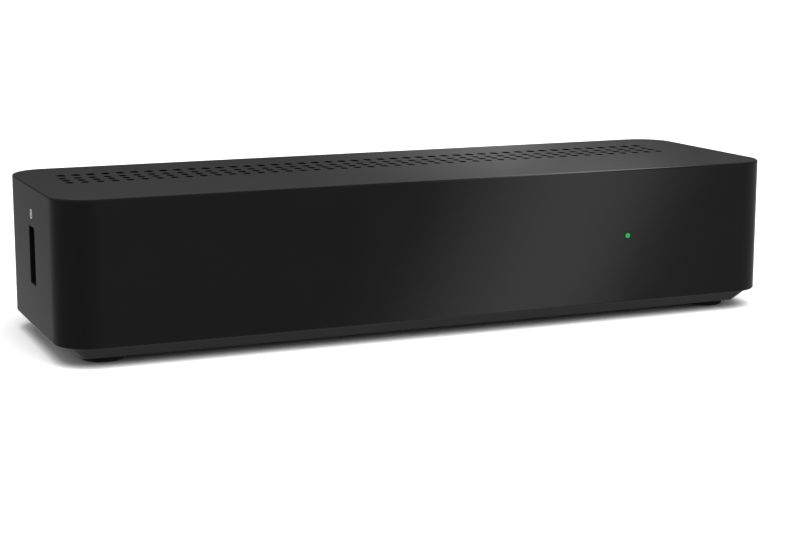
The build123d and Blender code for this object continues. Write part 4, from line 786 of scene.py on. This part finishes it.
# %% [markdown]
# ## Handing a piece over
# A made piece gets smooth shading with crisp edges. Then it rides on a body of the frame and hides
# the plain solids that it stands for. Its open edges are counted, because a gap in the skin of a
# solid piece would show in the exported mesh.

# %% Shade and hand over
SHARP_ANGLE = math.radians(35)


def shade(piece):
    """Smooth shading with crisp edges, where large faces keep their own flat shading."""
    piece.data.shade_smooth()
    piece.data.set_sharp_from_angle(angle=SHARP_ANGLE)
    weighted = piece.modifiers.new("flat_faces", "WEIGHTED_NORMAL")
    weighted.keep_sharp = True
    return settle(piece)


def open_edges(mesh):
    """How many edges don't have two faces: none on a closed skin."""
    counts = Counter(key for face in mesh.polygons for key in face.edge_keys)
    return sum(1 for faces in counts.values() if faces != 2)


def hand_over(piece, slot_name, *replaced, body="case"):
    """Rides the piece on its body and hides the plain solids that it stands for; the slot name is not used.
    """
    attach(piece, body)
    if replaced:
        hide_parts(*replaced)
    size = [round(v / MM, 2) for v in piece.dimensions]
    print(piece.name, "faces", len(piece.data.polygons), "open edges", open_edges(piece.data), "size", size)


print("hand-over ready")

# %% [markdown]
# ## The cover
# The upper shell is one moulding: a rounded box, open below, two millimetres thick. Its skin
# follows a rule, so it is drawn as rings: down the inside, round the rim, up the outside and
# over the soft top edge. The rim and the edge get more rings, because light catches there.

# %% Cover shell
CORNER, TOP_ROUND, RIM_ROUND, WALL = 8.7 * MM, 0.5 * MM, 0.3 * MM, 2.0 * MM
CORNER_STEPS, ROUND_STEPS = 14, 6
cover_middle, cover_size, RIM = (cover_low + cover_high) / 2, cover_high - cover_low, cover_low.z


def quarter_round(inset, level, radius, start):
    """Insets and levels along a quarter circle about a centre, clockwise from the start in degrees."""
    angles = [math.radians(start - 90 * i / ROUND_STEPS) for i in range(ROUND_STEPS + 1)]
    return [(inset + radius * math.cos(a), level + radius * math.sin(a)) for a in angles]


cover_profile = [(WALL, TOP - WALL)]
cover_profile += quarter_round(WALL - RIM_ROUND, RIM + RIM_ROUND, RIM_ROUND, 0)
cover_profile += quarter_round(RIM_ROUND, RIM + RIM_ROUND, RIM_ROUND, -90)
cover_profile += quarter_round(TOP_ROUND, TOP - TOP_ROUND, TOP_ROUND, 180)
cover_rings = []
for inset, level in cover_profile:
    plan = rounded_rectangle(cover_size.x - 2 * inset, cover_size.y - 2 * inset, CORNER - inset, CORNER_STEPS)
    cover_rings.append([(cover_middle.x + x, cover_middle.y + y, level) for x, y in plan])
cover_shell = joined([stack_rings(cover_rings)])
print("cover rings", len(cover_rings), "of", len(cover_rings[0]), "points")

# %% [markdown]
# ## Shapes along an axis
# Posts, pilot holes, slots and pins are all prisms: an outline that is carried along an axis and may
# spread on the way. The outline is a rule of that spread, so one function draws every kind. The
# mouths that show get a small flare, as a mould gives them, so that their edges catch light.

# %% Prisms
OVERRUN, FLARE, CIRCLE_SIDES, SLOT_STEPS = 1.0 * MM, 0.15 * MM, 32, 4


def tube_along(axis, outline, steps):
    """A prism along an axis: at each step, a place on the axis and how far the outline is spread."""
    rings = []
    for place, spread in steps:
        rings.append([(place, u, v) if axis == "X" else (u, place, v) if axis == "Y" else (u, v, place)
                      for u, v in outline(spread)])
    return stack_rings(rings)


def circle_at(u, v, radius, sides=CIRCLE_SIDES):
    """A rule for circles about a centre, wider by a spread."""
    turns = [2 * math.pi * i / sides for i in range(sides)]
    return lambda spread: [(u + (radius + spread) * math.cos(a), v + (radius + spread) * math.sin(a))
                           for a in turns]


def slot_at(u, v, width, height, corner):
    """A rule for rounded rectangles about a centre, wider by a spread on every side."""
    return lambda spread: [(u + a, v + b) for a, b in rounded_rectangle(
        width + 2 * spread, height + 2 * spread, corner + spread, SLOT_STEPS)]


def flared(outer, inner):
    """Steps from outside a wall to inside it, with a flared mouth at the outer face."""
    inward = 1 if inner > outer else -1
    mouth = [(outer - inward * OVERRUN, OVERRUN + FLARE), (outer + inward * FLARE, 0)]
    return mouth + [(inner + inward * OVERRUN, 0)]


print("prisms ready")

# %% [markdown]
# ## Posts, ribs and openings of the cover
# Inside, four posts take the case screws and three ribs hold the rear panel. The openings are the
# USB slot on the left, the hole of the status light, a thin window for the infrared receiver and
# the wide opening behind. Each is a closed shape, to be joined to the shell or cut out of it.

# %% Posts and ribs
POST_RADIUS, PILOT_RADIUS, POST_FOOT, PILOT_TOP, PILOT_SIDES = 3.2 * MM, 1.45 * MM, 10.5 * MM, 22.5 * MM, 24
foot_middle = middle_of("foot_rear_right")
FOOT_X, FOOT_REACH = foot_middle.x, foot_middle.y - cover_middle.y
post_places = [(x, cover_middle.y + y) for x in (-FOOT_X, FOOT_X) for y in (-FOOT_REACH, FOOT_REACH)]
post_steps = [(POST_FOOT, 0), (TOP - WALL / 2, 0)]
posts = [tube_along("Z", circle_at(x, y, POST_RADIUS), post_steps) for x, y in post_places]
RIB_WIDTH, RIB_SHEET, RIB_DROP, RIB_GAP, MIDDLE_RIB = 3.0 * MM, 1.5 * MM, 4.0 * MM, 0.2 * MM, 14.35 * MM
panel_low, panel_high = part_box("rear_panel")
rib_back = panel_low.y - RIB_GAP
rib_places = (panel_low.x + RIB_WIDTH, MIDDLE_RIB, panel_high.x - RIB_WIDTH)
ribs = [block((x - RIB_WIDTH / 2, rib_back - RIB_SHEET, TOP - WALL - RIB_DROP),
              (x + RIB_WIDTH / 2, rib_back, TOP - WALL / 2)) for x in rib_places]
pilot_steps = [(POST_FOOT - OVERRUN, 0), (PILOT_TOP, 0)]
pilots = [tube_along("Z", circle_at(x, y, PILOT_RADIUS, PILOT_SIDES), pilot_steps) for x, y in post_places]
cover_adds = add_object("cover_adds", joined(posts + ribs))
print("cover has", len(posts), "posts and", len(ribs), "ribs")

# %% Openings
usb_middle, USB_SLOT, LIGHT_HOLE = middle_of("usb_tongue"), (5.6 * MM, 12.8 * MM, 0.35 * MM), 0.75 * MM
USB_Y, USB_Z = usb_middle.y, usb_middle.z
usb_slot = tube_along("X", slot_at(USB_Y, USB_Z, *USB_SLOT), flared(cover_low.x, cover_low.x + WALL))
light_hole = tube_along("Y", circle_at(LIGHT_X, LIGHT_Z, LIGHT_HOLE), flared(cover_low.y, cover_low.y + WALL))
WINDOW_X, WINDOW_HALF, WINDOW_SKIN = middle_of("ir_receiver").x, (3.8 * MM, 4.5 * MM), 1.0 * MM
window = block((WINDOW_X - WINDOW_HALF[0], cover_low.y + WINDOW_SKIN, LIGHT_Z - WINDOW_HALF[1]),
               (WINDOW_X + WINDOW_HALF[0], cover_low.y + WALL + OVERRUN, LIGHT_Z + WINDOW_HALF[1]))
OPENING_HALF, OPENING_DROP = 72.0 * MM, 4.0 * MM
opening = block((-OPENING_HALF, cover_high.y - WALL - OVERRUN, RIM - OVERRUN),
                (OPENING_HALF, cover_high.y + OVERRUN, TOP - OPENING_DROP))
openings = [usb_slot, light_hole, window, opening]
cover_cuts = add_object("cover_cuts", joined(pilots + openings))
print("cover has", len(pilots), "pilot holes and", len(openings), "openings")

# %% [markdown]
# ## Perforations
# Warm air leaves through four rows of short slots in the lid. A slot is made by a slightly tapered
# pin of the mould with a flared head, so one pin is drawn for each length. Geometry Nodes set the
# pins on a grid and on a line of longer ones behind it, and a Mesh Boolean cuts them and the other
# openings in one go. An Array modifier could do a grid too, but here each spacing is a named input.

# %% Perforated cover
VENT_WIDTH, VENT_LENGTH, VENT_BACK_LENGTH = 1.6 * MM, 2.2 * MM, 2.75 * MM
VENT_FLARE, VENT_BACK_FLARE, MOUTH_DEPTH = 0.08 * MM, 0.22 * MM, 0.4 * MM
TAPER, PIN_FOOT, CUT_DEPTH, PIN_FLAT = 0.03 * MM, 3.0 * MM, 4.0 * MM, 0.001 * MM
perforation = Recipe("perforated_cover")
columns = perforation.size("Columns", VENT_COLUMNS)
column_pitch = perforation.size("Column pitch", VENT_PITCH)
rows = perforation.size("Rows", VENT_ROWS)
row_pitch = perforation.size("Row pitch", VENT_ROW_PITCH)
grid_middle = perforation.size("Middle of the grid", (
    VENT_START_X + VENT_RUN / 2, VENT_START_Y + (VENT_ROWS - 1) * VENT_ROW_PITCH / 2, TOP - PIN_FOOT))
back_start = perforation.size("Start of the back row", (VENT_BACK_X, VENT_BACK_Y, TOP - PIN_FOOT))


def vent_pin(name, length, flare):
    """A tapered pin that stands on its narrow end and has a flared head, as a helper piece."""
    outline = slot_at(0, 0, VENT_WIDTH, length, VENT_WIDTH / 2 - PIN_FLAT)
    steps = [(0, -TAPER), (PIN_FOOT - MOUTH_DEPTH, 0), (PIN_FOOT, flare), (CUT_DEPTH, flare)]
    return add_object(name, joined([tube_along("Z", outline, steps)]))


small_pin = vent_pin("small_pin", VENT_LENGTH, VENT_FLARE)
back_pin = vent_pin("back_pin", VENT_BACK_LENGTH, VENT_BACK_FLARE)
grid = perforation.node("GeometryNodeMeshGrid", {}, {
    "Size X": (columns - 1) * column_pitch, "Size Y": (rows - 1) * row_pitch,
    "Vertices X": columns, "Vertices Y": rows})
back_row = perforation.node("GeometryNodeMeshLine", {}, {
    "Count": columns, "Start Location": back_start, "Offset": perforation.vector(x=column_pitch)})
helpers = (cover_adds, cover_cuts, small_pin, back_pin)
added, cut, small, large = (perforation.shape_of(helper) for helper in helpers)
small_pins = perforation.repeated(perforation.moved(grid, by=grid_middle), small)
back_pins = perforation.repeated(back_row, large)
whole = perforation.boolean("UNION", {"Mesh 2": [perforation.start, added]})
pierced = perforation.boolean("DIFFERENCE", {"Mesh 1": whole, "Mesh 2": [cut, small_pins, back_pins]})
cover = perforation.make("vented_cover", pierced, finishes["cover_plastic"], cover_shell)
for helper in helpers:
    bpy.data.objects.remove(helper)
hand_over(shade(cover), "cover_plastic", "top_cover")

# %% [markdown]
# ## Feet
# Four rubber feet sit in shallow recesses under the tray. Each is a disc with a rounded lower edge
# and ring grooves that grip the table. One profile is turned, and Geometry Nodes set it at the four
# corners of a grid.

# %% Rubber feet
FOOT_RADIUS, FOOT_HEIGHT, FOOT_ROUND, GROOVE = 4.75 * MM, 1.9 * MM, 0.4 * MM, 0.35 * MM
FOOT_MIDDLE, GROOVE_SLOPE, ROUND_SIDES, FOOT_TURNS = 0.02 * MM, 0.1 * MM, 48, (0, 22, 45, 68, 90)
FOOT_GROOVES = ((3.6 * MM, 2.9 * MM), (2.1 * MM, 1.4 * MM))
foot_profile = [(FOOT_MIDDLE, FOOT_HEIGHT), (FOOT_RADIUS, FOOT_HEIGHT)]
foot_profile += [(FOOT_RADIUS - FOOT_ROUND + FOOT_ROUND * math.cos(math.radians(a)),
                  FOOT_ROUND - FOOT_ROUND * math.sin(math.radians(a))) for a in FOOT_TURNS]
for outer, inner in FOOT_GROOVES:
    foot_profile += [(outer, 0), (outer - GROOVE_SLOPE, GROOVE), (inner + GROOVE_SLOPE, GROOVE), (inner, 0)]
foot_profile.append((FOOT_MIDDLE, 0))
feet = Recipe("feet_under_tray")
foot_span = feet.node("GeometryNodeMeshGrid", {}, {
    "Size X": feet.size("Span across", 2 * FOOT_X), "Size Y": feet.size("Span deep", 2 * FOOT_REACH),
    "Vertices X": 2, "Vertices Y": 2})
foot_points = feet.moved(foot_span, by=feet.vector(y=feet.size("Middle of the case", cover_middle.y)))
rubber_feet = feet.make("rubber_feet", feet.repeated(foot_points, feet.start), finishes["foot_rubber"],
                        joined([turned(foot_profile, ROUND_SIDES, closed=False)]))
hand_over(shade(rubber_feet), "foot_rubber",
          "foot_front_left", "foot_front_right", "foot_rear_left", "foot_rear_right")

# %% [markdown]
# ## Softened edges
# No real edge is a perfect line. Moulded and stamped edges have a small radius, and light collects
# there. Where a node's shape is right but its edges are razor sharp, a copy of its mesh gets a
# Bevel modifier. CAD meshes are loose triangles, so the copy is merged, and its flat faces are
# made whole, before the bevel. Otherwise the bevel would follow every triangle.

# %% Soften the plain solids
# Radius of the edges of each node, in mm
EDGE_ROUNDS = {
    "base_tray": 0.20, "rear_panel": 0.15, "switch_frame": 0.25, "power_rocker": 0.30, "lan_shield": 0.08,
    "lan_housing": 0.15, "video_shell": 0.10, "video_tongue": 0.12, "av_jack": 0.12, "coax_body": 0.20,
    "coax_barrel": 0.10, "coax_insert": 0.15, "dc_jack": 0.25, "usb_shell": 0.08, "usb_tongue": 0.12,
    "heat_sink": 0.15, "tuner_can": 0.12, "decoder_chip": 0.10, "memory_chip_front": 0.10,
    "memory_chip_rear": 0.10, "flash_chip": 0.12, "tuner_chip": 0.10, "lan_transformer": 0.25,
    "power_inductors": 0.20, "surface_parts": 0.08, "status_led": 0.08, "main_board": 0.10,
    "case_screws": 0.10, "board_screws": 0.10, "clock_crystal": 0.30, "switch_terminals": 0.08,
    "rf_washers": 0.08, "thermal_pad": 0.08,
}
MERGE_REACH, FLAT_ANGLE, BEVEL_ANGLE, BEVEL_STEPS = 0.001 * MM, math.radians(0.5), math.radians(40), 2


def softened(node_name, radius):
    """A copy of a node with rounded edges, in the node's finish."""
    shape = bmesh.new()
    shape.from_mesh(nodes[node_name].data)
    bmesh.ops.remove_doubles(shape, verts=shape.verts, dist=MERGE_REACH)
    bmesh.ops.dissolve_limit(shape, angle_limit=FLAT_ANGLE, verts=shape.verts, edges=shape.edges)
    mesh = joined([shape])
    if "custom_normal" in mesh.attributes:
        mesh.attributes.remove(mesh.attributes["custom_normal"])
    mesh.materials.append(finishes[slot_of[node_name]])
    piece = add_object("soft_" + node_name, mesh)
    bevel = piece.modifiers.new("edges", "BEVEL")
    bevel.width, bevel.segments = radius * MM, BEVEL_STEPS
    bevel.limit_method, bevel.angle_limit = "ANGLE", BEVEL_ANGLE
    return shade(settle(piece))


for node_name, radius in EDGE_ROUNDS.items():
    hand_over(softened(node_name, radius), slot_of[node_name], node_name, body=nodes[node_name]["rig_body"])

# %% [markdown]
# ## Shapes in a row
# Contacts, chip legs, nuts and sockets repeat one shape at a few places. The places are the points
# of a small mesh, and Geometry Nodes set the shape on each of them.

# %% Repeat a shape
def repeated_piece(name, shape_mesh, places, slot_name, *replaced):
    """One piece with a copy of the shape at every place."""
    points = bpy.data.meshes.new(name)
    points.from_pydata(places, [], [])
    shape = add_object(name + "_shape", shape_mesh)
    row = Recipe(name)
    copies = row.repeated(row.start, row.shape_of(shape))
    piece = row.make(name, copies, finishes[slot_name], points)
    bpy.data.objects.remove(shape)
    hand_over(shade(piece), slot_name, *replaced)


def facing(mesh, right, up):
    """Turns a mesh so that its x axis points right and its y axis up, and its z axis towards the viewer."""
    right, up = Vector(right), Vector(up)
    mesh.transform(Matrix((right, up, right.cross(up))).transposed().to_4x4())
    return mesh


REAR_RIGHT, UPWARD = (-1, 0, 0), (0, 0, 1)
# Directions of a mesh's x and y axes that turn its z axis to the rear
REARWARD = ((1, 0, 0), (0, 0, -1))
print("rows ready")

# %% [markdown]
# ## Antenna sockets
# The two antenna sockets are turned from brass and nickel-plated, with a fine screw thread for the
# plug. The body is a turned profile, with a hexagon at its foot for the spanner. A hexagon is a
# turned shape too, if its radius follows a rule of the angle.

# %% Socket body
SOCKET_BORE, SOCKET_ROOT, THREAD_ROOT, MOUTH_ROUND = 3.2 * MM, 4.5 * MM, 4.30 * MM, 0.3 * MM
SHOULDER, THREAD_START = 2.0 * MM, 5.0 * MM
socket_low, socket_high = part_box("rf_in_socket")
SOCKET_LENGTH, SOCKET_FLATS = socket_high.y - socket_low.y, socket_high.z - socket_low.z
SOCKET_Z = (socket_low.z + socket_high.z) / 2
socket_xs = [middle_of(name).x for name in ("rf_in_socket", "rf_out_socket")]


def hexagon(flats):
    """A rule for the reach of a hexagon, with a corner at angle 0."""
    return lambda angle: flats / 2 / math.cos(angle % (math.pi / 3) - math.pi / 6)


socket_body = joined([turned([
    (SOCKET_BORE, 0), (hexagon(SOCKET_FLATS), 0), (hexagon(SOCKET_FLATS), SHOULDER),
    (SOCKET_ROOT, SHOULDER), (SOCKET_ROOT, THREAD_START), (THREAD_ROOT, THREAD_START),
    (THREAD_ROOT, SOCKET_LENGTH - 2 * MOUTH_ROUND), (THREAD_ROOT - MOUTH_ROUND, SOCKET_LENGTH),
    (SOCKET_BORE + MOUTH_ROUND, SOCKET_LENGTH), (SOCKET_BORE, SOCKET_LENGTH - MOUTH_ROUND)], ROUND_SIDES)])
print("socket body", len(socket_body.polygons), "faces")

# %% [markdown]
# ## Screw thread
# The thread is a ridge that winds along a spiral, which Curve to Mesh can draw: its section has a
# flat foot on the spiral and a narrow crest outwards. It fades out at both ends, as a cut thread
# does, and a Mesh Boolean joins it to the body.

# %% Threaded sockets
RIDGE_FOOT, RIDGE_CREST, RIDGE_SINK, SPIRAL_STEPS, FADE_LEAST = 0.98, 0.14, 0.08 * MM, 48, 0.1
thread = Recipe("threaded_socket")
thread_pitch = thread.size("Thread pitch", 0.794 * MM)
thread_turns = thread.size("Turns", 10.9)
thread_height = thread.size("Ridge height", 0.52 * MM)
ridge_radius = thread.size("Radius of the ridge's foot", THREAD_ROOT - RIDGE_SINK)
thread_start = thread.size("Start of the thread", THREAD_START)
fade_turns = thread.size("Turns of fading", 0.7)
spiral = thread.node("GeometryNodeCurveSpiral", {}, {
    "Resolution": SPIRAL_STEPS, "Rotations": thread_turns, "Height": thread_pitch * thread_turns,
    "Start Radius": ridge_radius, "End Radius": ridge_radius})
level_spiral = thread.node("GeometryNodeSetCurveNormal", {"mode": "Z_UP"}, {"Curve": spiral})
ridge = thread.node("GeometryNodeCurvePrimitiveQuadrilateral", {"mode": "TRAPEZOID"}, {
    "Height": thread_height, "Bottom Width": thread_pitch * RIDGE_FOOT,
    "Top Width": thread_pitch * RIDGE_CREST, "Offset": 0.0})
ridge = thread.moved(ridge, by=thread.vector(y=thread_height / 2))
ridge = thread.moved(ridge, turn=(0, 0, math.pi / 2))
along = thread.node("GeometryNodeSplineParameter", output="Factor")
fade = thread.limit(along * thread_turns / fade_turns) * thread.limit((1 - along) * thread_turns / fade_turns)
wound = thread.node("GeometryNodeCurveToMesh", {}, {
    "Curve": level_spiral, "Profile Curve": ridge, "Scale": FADE_LEAST + (1 - FADE_LEAST) * fade,
    "Fill Caps": True})
wound = thread.moved(wound, by=thread.vector(z=thread_start))
whole_socket = thread.boolean("UNION", {"Mesh 2": [thread.start, wound]})
socket_shape = thread.make("threaded_socket", whole_socket, finishes["socket_nickel"], socket_body)
socket_mesh = facing(socket_shape.data, *REARWARD)
bpy.data.objects.remove(socket_shape)
repeated_piece("antenna_sockets", socket_mesh, [(x, socket_low.y, SOCKET_Z) for x in socket_xs],
               "socket_nickel", "rf_in_socket", "rf_out_socket")

# %% [markdown]
# ## Nuts
# A hexagonal nut holds each antenna socket on the panel. Its corners are turned off at both faces,
# which leaves the curved edges that every nut has. A rule gives that for free: at each height, the
# reach is that of the hexagon or that of a cone, whichever is less.

# %% Hexagonal nuts
NUT_BORE, NUT_FACE_RADIUS, NUT_SLOPE, NUT_SIDES = 4.62 * MM, 5.35 * MM, 1.75, 72
NUT_SHARES = (0, 0.09, 0.18, 0.27, 0.36, 0.64, 0.73, 0.82, 0.91, 1)
nut_low, nut_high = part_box("rf_nuts")
NUT_HEIGHT = nut_high.y - nut_low.y


def nut_reach(height):
    """A rule for the nut's reach at a height."""
    cone = NUT_FACE_RADIUS + NUT_SLOPE * min(height, NUT_HEIGHT - height)
    flats = hexagon(SOCKET_FLATS)
    return lambda angle: min(flats(angle), cone)


nut_profile = [(nut_reach(NUT_HEIGHT * share), NUT_HEIGHT * share) for share in NUT_SHARES]
nut_profile += [(NUT_BORE + MOUTH_ROUND, NUT_HEIGHT), (NUT_BORE, NUT_HEIGHT - MOUTH_ROUND),
                (NUT_BORE, MOUTH_ROUND), (NUT_BORE + MOUTH_ROUND, 0)]
repeated_piece("antenna_nuts", facing(joined([turned(nut_profile, NUT_SIDES)]), *REARWARD),
               [(x, nut_low.y, SOCKET_Z) for x in socket_xs], "socket_nickel", "rf_nuts")

# %% [markdown]
# ## Contacts
# Inside the sockets sit rows of thin springs and pads, stamped from sheet and gold-plated. Each is a
# strip that follows a short path, so one function draws them all.

# %% Bent strips
def bent_strip(path, width, sheet):
    """A strip of sheet, as wide along x as given, bent along a path of (y, z) points; all in mm."""
    upper, lower = [], []
    for i, (y, z) in enumerate(path):
        before, after = path[max(i - 1, 0)], path[min(i + 1, len(path) - 1)]
        run = Vector((after[0] - before[0], after[1] - before[1])).normalized() * sheet / 2
        upper.append((y - run.y, z + run.x))
        lower.append((y + run.y, z - run.x))
    outline = upper + lower[::-1]
    return stack_rings([[(x * MM, y * MM, z * MM) for y, z in outline] for x in (-width / 2, width / 2)])


def row_of(count, pitch):
    """Places along a line, evenly spaced about zero."""
    return [(i - (count - 1) / 2) * pitch * MM for i in range(count)]


print("strips ready")

# %% Springs of the sockets
USB_REACHES, USB_FACE = (-3.5 * MM, -1.0 * MM, 1.0 * MM, 3.5 * MM), -5.32 * MM
USB_PATH = ((0.5, -0.05), (0.9, 0.10), (2.2, 0.16), (4.5, 0.06), (8.0, 0.04))
USB_WIDTH, USB_SHEET = 1.1, 0.16
usb_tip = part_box("usb_tongue")[0].x
usb_spring = facing(joined([bent_strip(USB_PATH, USB_WIDTH, USB_SHEET)]), (0, 0, -1), (1, 0, 0))
repeated_piece("usb_contacts", usb_spring,
               [(usb_tip, USB_FACE, USB_Z + z) for z in USB_REACHES], "contact_gold")

VIDEO_X, VIDEO_Z, TONGUE_HALF = middle_of("video_tongue").x, 15.58 * MM, 0.85 * MM
PAD_PATH, PAD_WIDTH, PAD_SHEET, PAD_PITCH = ((-7.5, 0.0), (-1.1, 0.0), (-0.4, -0.12)), 0.48, 0.10, 1.0
video_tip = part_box("video_tongue")[1].y
# Each row: name, how many pads, direction of their x axis, and the face of the tongue
for name, count, right, face in (("video_contacts_upper", 10, (1, 0, 0), TONGUE_HALF),
                                 ("video_contacts_lower", 9, (-1, 0, 0), -TONGUE_HALF)):
    pad = facing(joined([bent_strip(PAD_PATH, PAD_WIDTH, PAD_SHEET)]), right, (0, 1, 0))
    places = [(VIDEO_X + x, video_tip, VIDEO_Z + face) for x in row_of(count, PAD_PITCH)]
    repeated_piece(name, pad, places, "contact_gold")

LAN_PATH = ((0, -0.2), (-0.5, -0.35), (-1.0, -0.6), (-7.6, -1.5), (-8.0, -1.4))
LAN_COUNT, LAN_WIDTH, LAN_SHEET, LAN_PITCH = 8, 0.45, 0.25, 1.02
lan_middle, lan_high = middle_of("lan_contacts"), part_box("lan_contacts")[1]
repeated_piece("lan_springs", joined([bent_strip(LAN_PATH, LAN_WIDTH, LAN_SHEET)]),
               [(lan_middle.x + x, lan_high.y, lan_high.z) for x in row_of(LAN_COUNT, LAN_PITCH)],
               "contact_gold", "lan_contacts")

# %% [markdown]
# ## Chip legs
# The flash chip and the network transformer stand on rows of tinned legs. A leg leaves the side of
# the body, bends down and ends in a short foot on the board. A pair, left and right, is one shape.

# %% Bent legs
LEG_PITCH, LEG_WIDTH, LEG_SHEET = 1.27, 0.42, 0.15
LEG_PATH = ((-0.1, 0.75), (0.25, 0.72), (0.4, 0.5), (0.5, 0.2), (0.7, 0.08), (1.1, 0.08))


def chip_legs(name, node_name, count):
    """Bent legs along both long sides of a chip, down to the board."""
    low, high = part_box(node_name)
    half = (high.x - low.x) / 2 / MM
    path = [(half + reach, level) for reach, level in LEG_PATH]
    legs = [facing(joined([bent_strip(path, LEG_WIDTH, LEG_SHEET)]), right, up)
            for right, up in (((0, -1, 0), (1, 0, 0)), ((0, 1, 0), (-1, 0, 0)))]
    pair = bmesh.new()
    for leg in legs:
        pair.from_mesh(leg)
    middle = (low + high) / 2
    places = [(middle.x, middle.y + y, low.z) for y in row_of(count, LEG_PITCH)]
    repeated_piece(name, joined([pair]), places, "terminal_tin")


chip_legs("flash_legs", "flash_chip", 4)
chip_legs("transformer_legs", "lan_transformer", 8)

# %% [markdown]
# ## Numbers and words
# White numbers tell the sockets apart, and the switch has its two words. A text object is turned
# into a mesh first and only then put in its place, a hundredth of a millimetre proud, as a layer of
# ink would be.

# %% Print on the case
INK_PROUD, INK_SHEET, DIGIT_SIZE, WORD_SIZE = 0.01 * MM, 0.06 * MM, 3.0 * MM, 2.4 * MM


def printed(words, size, place, right, up, widen=1.0):
    """A thin solid text, centred on a place of a surface; a bmesh."""
    curve = bpy.data.curves.new("words", "FONT")
    curve.body, curve.size, curve.extrude = words, size, INK_SHEET / 2
    curve.align_x, curve.align_y = "CENTER", "CENTER"
    writing = bpy.data.objects.new("words", curve)
    mesh = bpy.data.meshes.new_from_object(writing)
    bpy.data.objects.remove(writing)
    mesh.transform(Matrix.Diagonal((widen, 1, 1, 1)))
    facing(mesh, right, up)
    outward = Vector(right).cross(Vector(up)) * (INK_PROUD - INK_SHEET / 2)
    mesh.transform(Matrix.Translation(Vector(place) + outward))
    letters = bmesh.new()
    letters.from_mesh(mesh)
    bmesh.ops.remove_doubles(letters, verts=letters.verts, dist=MERGE_REACH)
    return letters


def print_piece(name, letters, body="case"):
    mesh = joined(letters)
    mesh.materials.append(ink.material)
    piece = add_object(name, mesh)
    hand_over(piece, "insulator_white", body=body)


NUMBER_Z, ON_Z, OFF_Z = 29.4 * MM, 28.9 * MM, 11.3 * MM
SWITCH_X = middle_of("switch_frame").x
numbered = ("rf_in_socket", "rf_out_socket", "video_shell", "lan_shield", "av_jack", "coax_barrel", "dc_jack")
rear_print = [printed(str(i), DIGIT_SIZE, (middle_of(n).x, panel_high.y, NUMBER_Z), REAR_RIGHT, UPWARD)
              for i, n in enumerate(numbered, 1)]
rear_print += [printed(word, WORD_SIZE, (SWITCH_X, panel_high.y, z), REAR_RIGHT, UPWARD)
               for word, z in (("ON", ON_Z), ("OFF", OFF_Z))]
print_piece("rear_numbers", rear_print)
USB_NUMBER_Z, USB_NUMBER_WIDEN = 29.9 * MM, 1.6
side_place = (cover_low.x, USB_Y, USB_NUMBER_Z)
print_piece("side_number", [printed("8", DIGIT_SIZE, side_place, (0, -1, 0), UPWARD, USB_NUMBER_WIDEN)])

# %% [markdown]
# ## Marks of the rocker
# The rocker carries a bar for on and a ring for off, moulded in white. Its face has two slopes that
# meet in a shallow valley. At rest the upper one stands upright, and the lower one leans. The marks
# ride on the rocker's body, so they tip with it.

# %% Marks on the rocker
ROCKER_LEAN = math.radians(18)
VALLEY_Y, VALLEY_Z, MARK_DOWN = 22.368 * MM, 20.56 * MM, 2.0 * MM
RING_OUTER, RING_INNER, BAR_HALF = 1.0 * MM, 0.68 * MM, (0.18 * MM, 1.0 * MM)
bar = block((-BAR_HALF[0], -BAR_HALF[1], -INK_SHEET), (BAR_HALF[0], BAR_HALF[1], INK_PROUD))
bar_mesh = facing(joined([bar]), REAR_RIGHT, UPWARD)
bar_mesh.transform(Matrix.Translation((SWITCH_X, VALLEY_Y, VALLEY_Z + MARK_DOWN)))
ring = turned([(RING_INNER, -INK_SHEET), (RING_OUTER, -INK_SHEET),
               (RING_OUTER, INK_PROUD), (RING_INNER, INK_PROUD)], ROUND_SIDES)
slope = Vector((0, -math.sin(ROCKER_LEAN), math.cos(ROCKER_LEAN)))
ring_mesh = facing(joined([ring]), REAR_RIGHT, slope)
ring_mesh.transform(Matrix.Translation(Vector((SWITCH_X, VALLEY_Y, VALLEY_Z)) - slope * MARK_DOWN))
marks = bmesh.new()
for mark in (bar_mesh, ring_mesh):
    marks.from_mesh(mark)
print_piece("rocker_marks", [marks], body="rocker")
